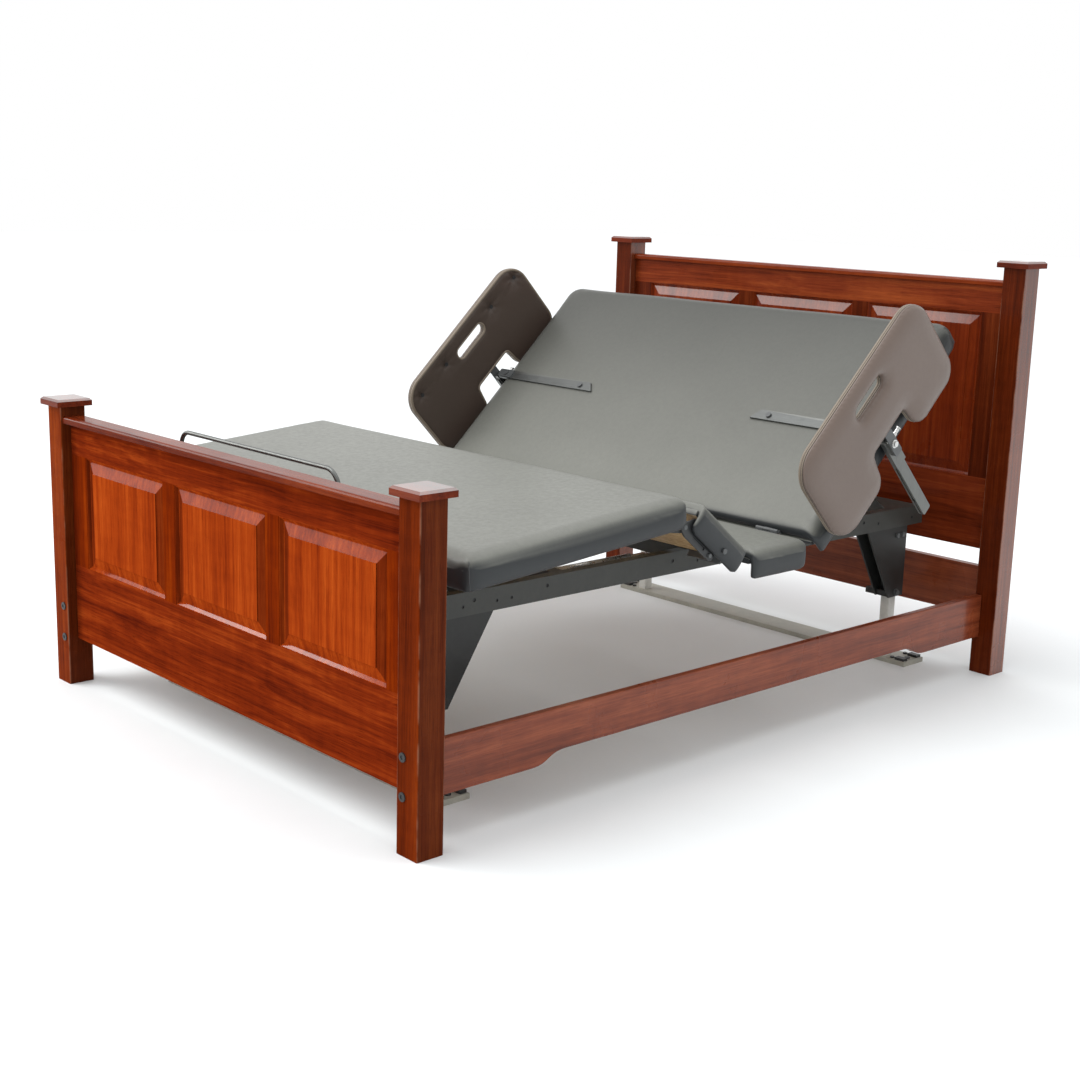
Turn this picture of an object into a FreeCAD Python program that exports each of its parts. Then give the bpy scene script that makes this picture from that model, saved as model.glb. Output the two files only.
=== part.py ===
import FreeCAD, Part
import math
import os

os.makedirs("parts", exist_ok=True)

V = FreeCAD.Vector

# Every Y below is measured from the outer face of the foot posts towards the head.
# X is across the bed and Z is up from the floor. put() moves the origin to the middle.
OVERALL_Y = 2328.0
POST_IN = 775.0
POST_OUT = 850.0
POST = 75.0
FOOT_POST_TOP = 811.0
HEAD_POST_TOP = 1248.5
CAP_OVERHANG = 15.0
CAP_EDGE = 15.0
CAP_BEVEL_RISE = 5.75
CAP_BEVEL_IN = 5.9

# End boards
PANEL_XS = ((-696.0, -271.0), (-213.0, 213.0), (271.0, 696.0))
FOOTBOARD_Y = (30.0, 55.0)
FOOTBOARD_Z = (135.0, 355.0, 675.0, 764.0)
HEADBOARD_Y = (2281.0, 2306.0)
HEADBOARD_Z = (385.0, 605.0, 1110.0, 1191.0)
LOWER_BOARD_Z = (174.0, 330.0)

# Wooden side rails
RAIL_IN = 776.0
RAIL_OUT = 798.0
RAIL_TOP = 248.0
RAIL_WIDE_Z = 116.0
RAIL_THIN_Z = 144.0

# Lift base and columns
COLUMN_X = 530.0
FOOT_COLUMN_Y = 286.0
HEAD_COLUMN_Y = 2144.0
COLUMN = 34.0
SLEEVE = 42.0
SLEEVE_BORE = 34.6
BAR_TOP = 15.0
COLUMN_TOP = 298.0
SLEEVE_Z = (231.0, 488.0)
PLATE_TOP = 436.0
PLATE_LOW = 211.0

# Lift frame
CHANNEL_OUT = 557.0
CHANNEL_T = 3.0
CHANNEL_FLANGE = 30.0
CHANNEL_Z = (436.0, 496.0)
CHANNEL_Y = (202.0, 2257.0)

# Deck sections, drawn flat and then turned to the stored pose
DECK_HALF = 795.0
SKIRT = 20.0
INNER = DECK_HALF - SKIRT
END_SKIRT = 18.0
FOOT_CORNERS = (30.0, 0.0)
BACK_CORNERS = (0.0, 55.0)
SKIRT_LOW = 455.0
PLY_LOW = 497.0
PLY_TOP = 509.0
DECK_TOP = 538.0
FOOT_Y = (180.0, 897.0)
THIGH_Y = (915.0, 1142.0)
SEAT_Y = (1157.0, 1383.0)
BACK_Y = (1397.0, 2211.0)
BACK_PIVOT = (1390.0, 538.0)
THIGH_PIVOT = (1149.0, 538.0)
KNEE_PIVOT = (905.5, 455.0)
BACK_ANGLE = 43.9
THIGH_ANGLE = 38.9
FOOT_ANGLE = 4.75

# Assist rails: s runs up the back section, n is square to it
S0 = 1399.0
PAD_IN = (821.5, 831.5)
CORE = (831.5, 834.5)
PAD_OUT = (834.5, 850.0)
ARM = (802.0, 819.0)
ARM_S = (350.0, 386.0)
ARM_LOW = -330.0

# Actuators
BACK_ACT_X = 250.0
KNEE_ACT_X = -250.0
ACT_Z = 400.0
LEVER_R = 150.0
BACK_LEVER_ZERO = 33.0
KNEE_LEVER_ZERO = 21.5
TUBE_R = 14.0
ROD_R = 10.0

# Foot support links
LINK_X = 484.0
LINK_PIN_FLAT = (300.0, 410.4)
LINK_REACH = 140.0


def box(x0, x1, y0, y1, z0, z1):
    """Box between limits given in any order."""
    low = V(min(x0, x1), min(y0, y1), min(z0, z1))
    return Part.makeBox(abs(x1 - x0), abs(y1 - y0), abs(z1 - z0), low)


def cyl_x(x0, x1, y, z, r):
    """Cylinder along X."""
    return Part.makeCylinder(r, abs(x1 - x0), V(min(x0, x1), y, z), V(1, 0, 0))


def cyl_y(x, y0, y1, z, r):
    """Cylinder along Y."""
    return Part.makeCylinder(r, abs(y1 - y0), V(x, min(y0, y1), z), V(0, 1, 0))


def cyl_z(x, y, z0, z1, r):
    """Cylinder along Z."""
    return Part.makeCylinder(r, abs(z1 - z0), V(x, y, min(z0, z1)), V(0, 0, 1))


def mirrored(shape):
    """Copy on the other side of the bed."""
    return shape.mirror(V(0, 0, 0), V(1, 0, 0))


def both(shape):
    """The shape and its copy on the other side of the bed."""
    return [shape, mirrored(shape)]


def corner(before, here, after, radius):
    """Start, middle and end of the arc that rounds one corner of an outline."""
    a = (before - here).normalize()
    b = (after - here).normalize()
    half = a.getAngle(b) / 2.0
    reach = radius / math.tan(half)
    mid_line = (a + b).normalize()
    centre = here + mid_line * (radius / math.sin(half))
    middle = centre - mid_line * radius
    return here + a * reach, middle, here + b * reach


def rounded_wire(points):
    """Closed wire through (vector, radius) corners."""
    edges = []
    count = len(points)
    ends = []
    for i in range(count):
        here, radius = points[i]
        if radius > 0:
            before = points[i - 1][0]
            after = points[(i + 1) % count][0]
            start, middle, end = corner(before, here, after, radius)
            edges.append(Part.Arc(start, middle, end).toShape())
            ends.append((start, end))
        else:
            ends.append((here, here))
    for i in range(count):
        start = ends[i][1]
        end = ends[(i + 1) % count][0]
        if (end - start).Length > 1e-4:
            edges.append(Part.makeLine(start, end))
    return Part.Wire(Part.__sortEdges__(edges))


def prism_x(points, x0, x1):
    """Outline of (y, z, radius) corners pushed from x0 to x1."""
    corners = [(V(x0, p[0], p[1]), p[2]) for p in points]
    return Part.Face(rounded_wire(corners)).extrude(V(x1 - x0, 0, 0))


def prism_z(points, z0, z1):
    """Outline of (x, y, radius) corners pushed from z0 to z1."""
    corners = [(V(p[0], p[1], z0), p[2]) for p in points]
    return Part.Face(rounded_wire(corners)).extrude(V(0, 0, z1 - z0))


def fillet_where(shape, radius, test):
    """Rounds the edges whose box passes the test."""
    chosen = [edge for edge in shape.Edges if test(edge.BoundBox)]
    return shape.makeFillet(radius, chosen)


def turned(shape, pivot, degrees):
    """Copy turned about an axis along X through the pivot."""
    copy = shape.copy()
    copy.rotate(V(0, pivot[0], pivot[1]), V(1, 0, 0), degrees)
    return copy


def turn_point(point, pivot, degrees):
    """A (y, z) point turned about the pivot."""
    a = math.radians(degrees)
    y = point[0] - pivot[0]
    z = point[1] - pivot[1]
    new_y = pivot[0] + y * math.cos(a) - z * math.sin(a)
    new_z = pivot[1] + y * math.sin(a) + z * math.cos(a)
    return new_y, new_z


def on_back(shape):
    return turned(shape, BACK_PIVOT, BACK_ANGLE)


def on_thigh(shape):
    return turned(shape, THIGH_PIVOT, -THIGH_ANGLE)


def on_foot(shape):
    copy = turned(shape, KNEE_PIVOT, FOOT_ANGLE)
    raised = turn_point(KNEE_PIVOT, THIGH_PIVOT, -THIGH_ANGLE)
    copy.translate(V(0, raised[0] - KNEE_PIVOT[0], raised[1] - KNEE_PIVOT[1]))
    return copy


def put(name, shapes, place=None):
    """Places the solids of one node, checks them and writes the file."""
    solids = []
    for shape in shapes:
        if place is not None:
            shape = place(shape)
        for solid in shape.Solids:
            solid = solid.copy()
            solid.translate(V(0, -OVERALL_Y / 2.0, 0))
            if not solid.isValid():
                raise ValueError(name + " has an invalid solid")
            solids.append(solid)
    whole = solids[0] if len(solids) == 1 else Part.makeCompound(solids)
    whole.exportStep("parts/" + name + ".step")
    print(name, len(solids), round(sum(s.Volume for s in solids) / 1e6, 3))


# ---------------------------------------------------------------- wooden surround

def post(x_side, y0, top):
    """Square post with slightly eased corners."""
    shape = box(x_side * POST_IN, x_side * POST_OUT, y0, y0 + POST, 0, top)
    return fillet_where(shape, 3.0, lambda b: b.ZLength > 100)


def cap(x_side, y0, z0):
    """Overhanging cap with a bevelled top."""
    middle = x_side * (POST_IN + POST_OUT) / 2.0
    half = POST / 2.0 + CAP_OVERHANG
    y_mid = y0 + POST / 2.0
    slab = box(middle - half, middle + half, y_mid - half, y_mid + half, z0, z0 + CAP_EDGE)
    top = frustum(middle, y_mid, half, half - CAP_BEVEL_IN, z0 + CAP_EDGE, CAP_BEVEL_RISE)
    return slab.fuse(top).removeSplitter()


def square_wire(x, y, half, z):
    points = [V(x - half, y - half, z), V(x + half, y - half, z)]
    points += [V(x + half, y + half, z), V(x - half, y + half, z), V(x - half, y - half, z)]
    return Part.makePolygon(points)


def frustum(x, y, low_half, high_half, z, rise):
    wires = [square_wire(x, y, low_half, z), square_wire(x, y, high_half, z + rise)]
    return Part.makeLoft(wires, True, True)


def rect_wire(x0, x1, z0, z1, y):
    points = [V(x0, y, z0), V(x1, y, z0), V(x1, y, z1), V(x0, y, z1), V(x0, y, z0)]
    return Part.makePolygon(points)


def raised_panel(x0, x1, z0, z1, ys):
    """Panel filling one opening: bevelled field with a step, and a bead against the frame."""
    y_mid = sum(ys) / 2.0
    shape = box(x0, x1, y_mid - 3.0, y_mid + 3.0, z0, z1)
    for way in (-1, 1):
        base = rect_wire(x0 + 11, x1 - 11, z0 + 11, z1 - 11, y_mid + way * 2.9)
        high = rect_wire(x0 + 40, x1 - 40, z0 + 40, z1 - 40, y_mid + way * 10.2)
        shape = shape.fuse(Part.makeLoft([base, high], True, True))
        field = box(x0 + 40, x1 - 40, y_mid + way * 10.1, y_mid + way * 12.2, z0 + 40, z1 - 40)
        shape = shape.fuse(field)
        ring = box(x0, x1, y_mid + way * 2.9, y_mid + way * 11.0, z0, z1)
        wide = rect_wire(x0 + 2, x1 - 2, z0 + 2, z1 - 2, y_mid + way * 11.1)
        tight = rect_wire(x0 + 9, x1 - 9, z0 + 9, z1 - 9, y_mid + way * 2.8)
        shape = shape.fuse(ring.cut(Part.makeLoft([tight, wide], True, True)))
    return shape.removeSplitter()


def board_parts(ys, zs):
    """Stiles, rails and panels of one end board."""
    y0, y1 = ys
    stile_xs = [(-POST_IN, PANEL_XS[0][0]), (PANEL_XS[0][1], PANEL_XS[1][0])]
    stile_xs += [(PANEL_XS[1][1], PANEL_XS[2][0]), (PANEL_XS[2][1], POST_IN)]
    rails = [box(-POST_IN, POST_IN, y0, y1, zs[0], zs[1])]
    rails.append(box(-POST_IN, POST_IN, y0, y1, zs[2], zs[3]))
    stiles = [box(a, b, y0, y1, zs[1], zs[2]) for a, b in stile_xs]
    panels = [raised_panel(a, b, zs[1], zs[2], ys) for a, b in PANEL_XS]
    return rails, stiles, panels


def side_rail():
    """Wooden side rail: wide at both ends, with a curved step down to a thin middle."""
    y0 = POST
    y1 = OVERALL_Y - POST
    edges = []
    edges.append(Part.makeLine(V(RAIL_IN, y0, RAIL_TOP), V(RAIL_IN, y1, RAIL_TOP)))
    edges.append(Part.makeLine(V(RAIL_IN, y1, RAIL_TOP), V(RAIL_IN, y1, RAIL_WIDE_Z)))
    edges.append(Part.makeLine(V(RAIL_IN, y1, RAIL_WIDE_Z), V(RAIL_IN, 1965, RAIL_WIDE_Z)))
    edges += step_curve(1965, RAIL_WIDE_Z, 1850, RAIL_THIN_Z)
    edges.append(Part.makeLine(V(RAIL_IN, 1850, RAIL_THIN_Z), V(RAIL_IN, 492, RAIL_THIN_Z)))
    edges += step_curve(492, RAIL_THIN_Z, 380, RAIL_WIDE_Z)
    edges.append(Part.makeLine(V(RAIL_IN, 380, RAIL_WIDE_Z), V(RAIL_IN, y0, RAIL_WIDE_Z)))
    edges.append(Part.makeLine(V(RAIL_IN, y0, RAIL_WIDE_Z), V(RAIL_IN, y0, RAIL_TOP)))
    face = Part.Face(Part.Wire(edges))
    rail = face.extrude(V(RAIL_OUT - RAIL_IN, 0, 0))
    return fillet_where(rail, 4.0, lambda b: b.YLength > 2000 and b.ZMin > RAIL_TOP - 1)


def step_curve(y0, z0, y1, z1):
    """Flowing S curve between two heights of the rail's lower edge."""
    poles = [V(RAIL_IN, y0, z0), V(RAIL_IN, y0 + (y1 - y0) * 0.55, z0)]
    poles += [V(RAIL_IN, y0 + (y1 - y0) * 0.45, z1), V(RAIL_IN, y1, z1)]
    curve = Part.BezierCurve()
    curve.setPoles(poles)
    return [curve.toShape()]


def moulding(points):
    """Top moulding running between the posts."""
    return prism_x(points, -POST_IN, POST_IN)


def rail_bolt_caps():
    """Round covers over the side rail bolts on the outer end face of every post."""
    shapes = []
    for z in (231.0, 139.0):
        foot = cyl_y(797.0, -3.0, 0.0, z, 11.0).cut(cyl_y(797.0, -3.0, -1.5, z, 5.0))
        head = cyl_y(797.0, OVERALL_Y, OVERALL_Y + 3.0, z, 11.0)
        head = head.cut(cyl_y(797.0, OVERALL_Y + 1.5, OVERALL_Y + 3.0, z, 5.0))
        shapes += both(foot) + both(head)
    return shapes


def make_surround():
    put("foot_posts", [post(-1, 0, FOOT_POST_TOP), post(1, 0, FOOT_POST_TOP)])
    y0 = OVERALL_Y - POST
    put("head_posts", [post(-1, y0, HEAD_POST_TOP), post(1, y0, HEAD_POST_TOP)])
    caps = both(cap(1, 0, FOOT_POST_TOP)) + both(cap(1, OVERALL_Y - POST, HEAD_POST_TOP))
    put("post_caps", caps)
    for name, ys, zs in (("foot", FOOTBOARD_Y, FOOTBOARD_Z), ("head", HEADBOARD_Y, HEADBOARD_Z)):
        rails, stiles, panels = board_parts(ys, zs)
        put(name + "board_frame", rails + stiles)
        put(name + "board_panels", panels)
    foot_top = [(5, 764, 2), (68, 764, 2), (68, 784, 8), (5, 784, 8)]
    put("footboard_moulding", [moulding(foot_top)])
    head_top = [(2270, 1191, 2), (2316, 1191, 2), (2316, 1209, 8), (2270, 1209, 8)]
    put("headboard_moulding", [moulding(head_top)])
    lower = box(-POST_IN, POST_IN, HEADBOARD_Y[0], HEADBOARD_Y[1], *LOWER_BOARD_Z)
    put("headboard_lower_board", [lower])
    rail = side_rail()
    put("side_rails", both(rail))
    put("rail_bolt_caps", rail_bolt_caps())


# ---------------------------------------------------------------- lift

def square_tube(x, y, outer, inner, z0, z1):
    h = outer / 2.0
    shape = box(x - h, x + h, y - h, y + h, z0, z1)
    shape = fillet_where(shape, 4.0, lambda b: b.ZLength > 10)
    k = inner / 2.0
    return shape.cut(box(x - k, x + k, y - k, y + k, z0 - 1, z1 + 1))


def base_bar(y0, y1):
    """Flat bar on the floor with eased top edges and square spigots for the columns."""
    shape = box(-628, 628, y0, y1, 0, BAR_TOP)
    return fillet_where(shape, 3.0, lambda b: b.ZMin > BAR_TOP - 1 and b.XLength > 100)


def base_fittings(y0, y1):
    """Pad blocks and screws on top of one base bar."""
    y_mid = (y0 + y1) / 2.0
    shapes = []
    for y in (y0 + 16, y1 - 16):
        shapes += both(box(588, 622, y - 11, y + 11, BAR_TOP, BAR_TOP + 8))
        shapes += both(cyl_z(572, y, BAR_TOP, BAR_TOP + 5, 7))
    shapes += both(cyl_z(605, y_mid, BAR_TOP, BAR_TOP + 4, 9))
    return shapes


def gusset(column_y, way, x0, x1):
    """Triangular plate from the channel down to the bearing block."""
    long_top = column_y + (176 if way > 0 else -165)
    end_top = column_y - way * 36
    points = [(end_top, PLATE_TOP, 0), (long_top, PLATE_TOP, 0)]
    points += [(column_y + way * 36, PLATE_LOW, 0), (end_top, PLATE_LOW, 0)]
    shape = prism_x(points, x0, x1)
    return shape.cut(cyl_x(x0 - 1, x1 + 1, column_y, 224.0, 5.0))


def gussets():
    shapes = []
    for y, way in ((FOOT_COLUMN_Y, 1), (HEAD_COLUMN_Y, -1)):
        shapes += both(gusset(y, way, 551.0, 557.0))
        shapes += both(gusset(y, way, 503.0, 509.0))
    return shapes


def bearing_block(y):
    """Block round the column under the sleeve, between the gusset plates."""
    shape = box(509, 551, y - 36, y + 36, 213, 231)
    k = SLEEVE_BORE / 2.0
    shape = shape.cut(box(COLUMN_X - k, COLUMN_X + k, y - k, y + k, 212, 232))
    inner = box(468, 503, y - 36, y + 36, 213, 231)
    return shape, inner


def gusset_bolts():
    """Hexagon bolt heads and washers on the outer plates."""
    shapes = []
    for y in (FOOT_COLUMN_Y, HEAD_COLUMN_Y):
        for z in (224.0,):
            washer = cyl_x(557, 559, y, z, 12)
            shapes += both(washer.fuse(hex_x(559, 566, y, z, 9)).fuse(cyl_x(551, 557, y, z, 4.9)))
        for step in (-14, 14):
            shapes += both(hex_x(557, 563, y + step, 410.0, 8))
    return shapes


def hex_x(x0, x1, y, z, r):
    """Hexagonal head along X."""
    points = []
    for k in range(6):
        a = math.radians(60 * k)
        points.append((y + r * math.cos(a), z + r * math.sin(a), 0))
    return prism_x(points, x0, x1)


def side_channel():
    """C-section with the web outside, notched round the sleeves, with tapped holes in the web."""
    z0, z1 = CHANNEL_Z
    out = CHANNEL_OUT
    t = CHANNEL_T
    web = box(out - t, out, CHANNEL_Y[0], CHANNEL_Y[1], z0, z1)
    low = box(out - CHANNEL_FLANGE, out, CHANNEL_Y[0], CHANNEL_Y[1], z0, z0 + t)
    high = box(out - CHANNEL_FLANGE, out, CHANNEL_Y[0], CHANNEL_Y[1], z1 - t, z1)
    shape = web.fuse(low).fuse(high).removeSplitter()
    for y in (FOOT_COLUMN_Y, HEAD_COLUMN_Y):
        shape = shape.cut(box(508.5, 551.5, y - 21.5, y + 21.5, z0 - 1, z0 + t + 1))
    for y in (365.0, 473.0, 521.0, 1200.0, 1330.0, 1700.0, 2026.0, 2200.0):
        shape = shape.cut(cyl_x(out - 2.2, out + 1, y, 460.0, 4.0))
    for y in (400.0, 640.0, 1100.0, 1560.0, 1950.0):
        shape = shape.cut(cyl_x(out - 2.2, out + 1, y, 472.0, 5.0))
    return shape


def cross_tube(y0, y1, z0, z1):
    """Rectangular tube between the channel webs."""
    half = CHANNEL_OUT - CHANNEL_T
    flange = CHANNEL_OUT - CHANNEL_FLANGE - 0.5
    outer = box(-flange, flange, y0, y1, z0, z1)
    inner = box(-half - 1, half + 1, y0 + 2.5, y1 - 2.5, z0 + 2.5, z1 - 2.5)
    tongue = box(-half, half, y0 + 4, y1 - 4, CHANNEL_Z[0] + 4, CHANNEL_Z[1] - 4)
    inside = box(-flange, flange, y0 - 1, y1 + 1, z0 - 1, z1 + 1)
    return outer.cut(inner), tongue.cut(inside)


def cross_members():
    """Cross tubes with solid end lugs inside the channels."""
    shapes = []
    for y0, y1 in ((204, 244), (690, 730), (2216, 2252)):
        tube, lugs = cross_tube(y0, y1, 440, 492)
        shapes.append(tube)
        shapes += lugs.Solids
    tube, lugs = cross_tube(1222, 1282, 440, PLY_LOW)
    shapes.append(tube)
    shapes += lugs.Solids
    return shapes


def corner_gussets():
    """Triangular plates between the channels and the head cross tube."""
    out = CHANNEL_OUT - CHANNEL_T
    low = CHANNEL_Z[1] - CHANNEL_T - 3.5
    points = [(out, 2072, 0), (out - 150, 2216, 0), (out, 2216, 0)]
    return both(prism_z(points, low, low + 3.5))


def link_geometry():
    """Pivot, length and swing of the foot support links."""
    flat = LINK_PIN_FLAT
    high = turn_point(flat, KNEE_PIVOT, FOOT_ANGLE)
    raised = turn_point(KNEE_PIVOT, THIGH_PIVOT, -THIGH_ANGLE)
    high = (high[0] + raised[0] - KNEE_PIVOT[0], high[1] + raised[1] - KNEE_PIVOT[1])
    dy = high[0] - flat[0]
    dz = high[1] - flat[1]
    chord = math.hypot(dy, dz)
    mid = ((flat[0] + high[0]) / 2.0, (flat[1] + high[1]) / 2.0)
    pivot = (mid[0] + dz / chord * LINK_REACH, mid[1] - dy / chord * LINK_REACH)
    length = math.hypot(LINK_REACH, chord / 2.0)
    swing = 2.0 * math.degrees(math.atan2(chord / 2.0, LINK_REACH))
    return pivot, length, swing, high


def link_shaft():
    """Round shaft across the channels that carries the foot support links."""
    pivot = link_geometry()[0]
    shaft = cyl_x(-553.5, 553.5, pivot[0], pivot[1], 10.0)
    return [shaft]


def shaft_collars():
    """Collars that keep each link in its place on the shaft."""
    pivot = link_geometry()[0]
    shapes = []
    for x0, x1 in ((468.0, 479.5), (488.5, 500.0)):
        collar = cyl_x(x0, x1, pivot[0], pivot[1], 16.0)
        shapes += both(collar.cut(cyl_x(x0 - 1, x1 + 1, pivot[0], pivot[1], 10.0)))
    return shapes


def foot_link():
    """Link with a hub on the shaft and a slotted end on the foot section's pin."""
    pivot, length, swing, high = link_geometry()
    x0 = LINK_X - 4.0
    x1 = LINK_X + 4.0
    y, z = pivot
    tip = y - length
    arm = box(x0, x1, tip - 2.0, y, z - 12.0, z + 12.0)
    shape = arm.fuse(cyl_x(x0, x1, y, z, 18.0)).fuse(box(x0, x1, tip - 14.0, tip + 14.0, z - 14.0, z + 14.0))
    shape = shape.fuse(cyl_x(x0, x1, tip - 14.0, z, 14.0))
    shape = shape.cut(cyl_x(x0 - 1, x1 + 1, y, z, 10.05))
    slot = prism_x([(tip - 10.5, z - 6.5, 6.4), (tip + 8.0, z - 6.5, 6.4),
                    (tip + 8.0, z + 6.5, 6.4), (tip - 10.5, z + 6.5, 6.4)], x0 - 1, x1 + 1)
    shape = shape.cut(slot).removeSplitter()
    drop = -swing / 2.0
    dy = high[0] - LINK_PIN_FLAT[0]
    dz = high[1] - LINK_PIN_FLAT[1]
    lean = math.degrees(math.atan2(dy, dz))
    return turned(shape, pivot, drop - lean)


def link_brackets():
    """Hangers under the foot section with the pins that ride in the links."""
    y, z = LINK_PIN_FLAT
    plate = prism_x([(y - 30, PLY_LOW, 0), (y + 30, PLY_LOW, 0), (y + 13, z - 12, 10), (y - 13, z - 12, 10)],
                    491.0, 496.0)
    pin = cyl_x(474.0, 499.0, y, z, 5.0)
    head = cyl_x(471.0, 474.0, y, z, 8.0)
    return both(plate.fuse(pin).fuse(head))


def make_lift():
    put("floor_base_bars", [base_bar(235, 337), base_bar(2115, 2217)])
    put("base_fittings", base_fittings(235, 337) + base_fittings(2115, 2217))
    columns = []
    sleeves = []
    blocks = []
    for y in (FOOT_COLUMN_Y, HEAD_COLUMN_Y):
        columns += both(square_tube(COLUMN_X, y, COLUMN, COLUMN - 5.0, BAR_TOP, COLUMN_TOP))
        sleeves += both(square_tube(COLUMN_X, y, SLEEVE, SLEEVE_BORE, *SLEEVE_Z))
        for part in bearing_block(y):
            blocks += both(part)
    put("lift_columns", columns)
    put("lift_sleeves", sleeves)
    put("column_gussets", gussets() + blocks)
    put("gusset_bolts", gusset_bolts())
    channel = side_channel()
    put("side_channels", both(channel))
    hangers = hanger(BACK_ACT_X, 700.0, 728.0) + hanger(KNEE_ACT_X, 700.0, 728.0)
    put("cross_members", cross_members() + corner_gussets() + hangers)
    put("link_shaft", link_shaft() + shaft_collars())
    link = foot_link()
    put("foot_links", both(link))


# ---------------------------------------------------------------- deck

def section_prism(ys, radii, z0, z1):
    """Plan outline of one section between two heights. Radii: foot corners, head corners."""
    h = DECK_HALF
    r0, r1 = radii
    outline = [(-h, ys[0], r0), (h, ys[0], r0), (h, ys[1], r1), (-h, ys[1], r1)]
    return prism_z(outline, z0, z1)


def side_skirts(ys, radii=(0, 0)):
    """Padded side boards of one section."""
    side = box(INNER, DECK_HALF, ys[0], ys[1], SKIRT_LOW, PLY_TOP)
    return both(side.common(section_prism(ys, radii, SKIRT_LOW - 1, PLY_TOP + 1)))


def end_skirt(ys, radii, y0, y1, spans, low):
    """Padded end boards of one section, one for each span of X."""
    outline = section_prism(ys, radii, low - 1, PLY_TOP + 1)
    return [box(a, b, y0, y1, low, PLY_TOP).common(outline) for a, b in spans]


def board(ys):
    """Plywood panel of one section."""
    return box(-INNER, INNER, ys[0], ys[1], PLY_LOW, PLY_TOP)


def cushion(ys, radii):
    """Foam slab of one section with softened edges."""
    slab = section_prism(ys, radii, PLY_TOP, DECK_TOP)
    return fillet_where(slab, 12.0, lambda b: b.ZMin > DECK_TOP - 0.5)


def hinge_leaves(face_y, way, pivot, centres, keep):
    """Leaves fixed to a section's end face, with the knuckles at the positions in keep."""
    shapes = []
    for x in centres:
        leaf = box(x - 38, x + 38, face_y, face_y + way * 2.5, 478, 534)
        for k in keep:
            x0 = x - 38 + k * 25.4
            x1 = x0 + 25.0
            knuckle = cyl_x(x0, x1, pivot[0], pivot[1], 5.0)
            link = box(x0, x1, face_y, pivot[0], 533.2, 537.0)
            leaf = leaf.fuse(knuckle).fuse(link)
        leaf = leaf.cut(cyl_x(x - 40, x + 40, pivot[0], pivot[1], 2.55))
        shapes.append(leaf.removeSplitter())
    return shapes


def hinge_pins(pivot, centres):
    return [cyl_x(x - 38, x + 38, pivot[0], pivot[1], 2.5) for x in centres]


def lever(pivot, zero, x, ys, anchor):
    """Two lever cheeks and their pin, hanging from a section's plywood."""
    a = math.radians(-90.0 + zero)
    pin_y = pivot[0] + LEVER_R * math.cos(a)
    pin_z = pivot[1] + LEVER_R * math.sin(a)
    shapes = []
    for x0, x1 in ((x - 13, x - 7), (x + 7, x + 13)):
        near, far = anchor
        cheek = prism_x([(near, PLY_LOW, 0), (far, PLY_LOW, 0), (far, PLY_LOW - 14, 0),
                         (pin_y + 4, pin_z - 11, 10), (pin_y - 9, pin_z + 4, 8)], x0, x1)
        shapes.append(cheek)
    foot = box(x - 30, x + 30, near, far, PLY_LOW - 4, PLY_LOW)
    whole = shapes[0].fuse(shapes[1]).fuse(foot)
    hole = cyl_x(x - 14, x + 14, pin_y, pin_z, 6.0)
    pin = cyl_x(x - 16, x + 16, pin_y, pin_z, 6.0)
    return whole.cut(hole).removeSplitter(), pin


def knee_plates(way, x0, x1):
    """Hinge plates inside the side skirts that meet at the knee pivot."""
    y, z = KNEE_PIVOT
    far = y + way * 120.0
    plate = prism_x([(far, 492, 8), (y + way * 16, 492, 8), (y - way * 13, z + 4, 4),
                     (y - way * 13, z - 13, 12), (y + way * 14, z - 13, 12), (far, 466, 8)], x0, x1)
    return plate


def thigh_strap(x0, x1):
    """Strap below the thigh section's side, from the knee pivot to its bolt."""
    y, z = KNEE_PIVOT
    return prism_x([(y + 142, 466, 8), (y + 60, 492, 8), (y + 16, 492, 8), (y - 13, z + 4, 4),
                    (y - 13, z - 13, 12), (y + 14, z - 20, 12), (y + 142, z - 19, 10)], x0, x1)


def retainer():
    """Bent rod that stops the mattress at the foot end."""
    y = 152.0
    top = DECK_TOP + 147.0 - 6.0
    low = DECK_TOP - 55.0
    r = 45.0
    x = 360.0
    path = [Part.makeLine(V(-x, y, low), V(-x, y, top - r))]
    a = r * math.cos(math.radians(45))
    path.append(Part.Arc(V(-x, y, top - r), V(-x + r - a, y, top - r + a), V(-x + r, y, top)).toShape())
    path.append(Part.makeLine(V(-x + r, y, top), V(x - r, y, top)))
    path.append(Part.Arc(V(x - r, y, top), V(x - r + a, y, top - r + a), V(x, y, top - r)).toShape())
    path.append(Part.makeLine(V(x, y, top - r), V(x, y, low)))
    wire = Part.Wire(path)
    ring = Part.Wire([Part.makeCircle(6.0, V(-x, y, low), V(0, 0, 1))])
    return wire.makePipeShell([ring], True, False)


def retainer_clamps():
    """Blocks that hold the rod's legs to the end of the foot section."""
    block = box(342, 378, 143, FOOT_Y[0], 485, 507)
    block = block.cut(cyl_z(360, 152, 484, 508, 6.0))
    plate = box(330, 390, FOOT_Y[0] - 3, FOOT_Y[0], 470, 507)
    return both(block.fuse(plate).removeSplitter())


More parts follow.
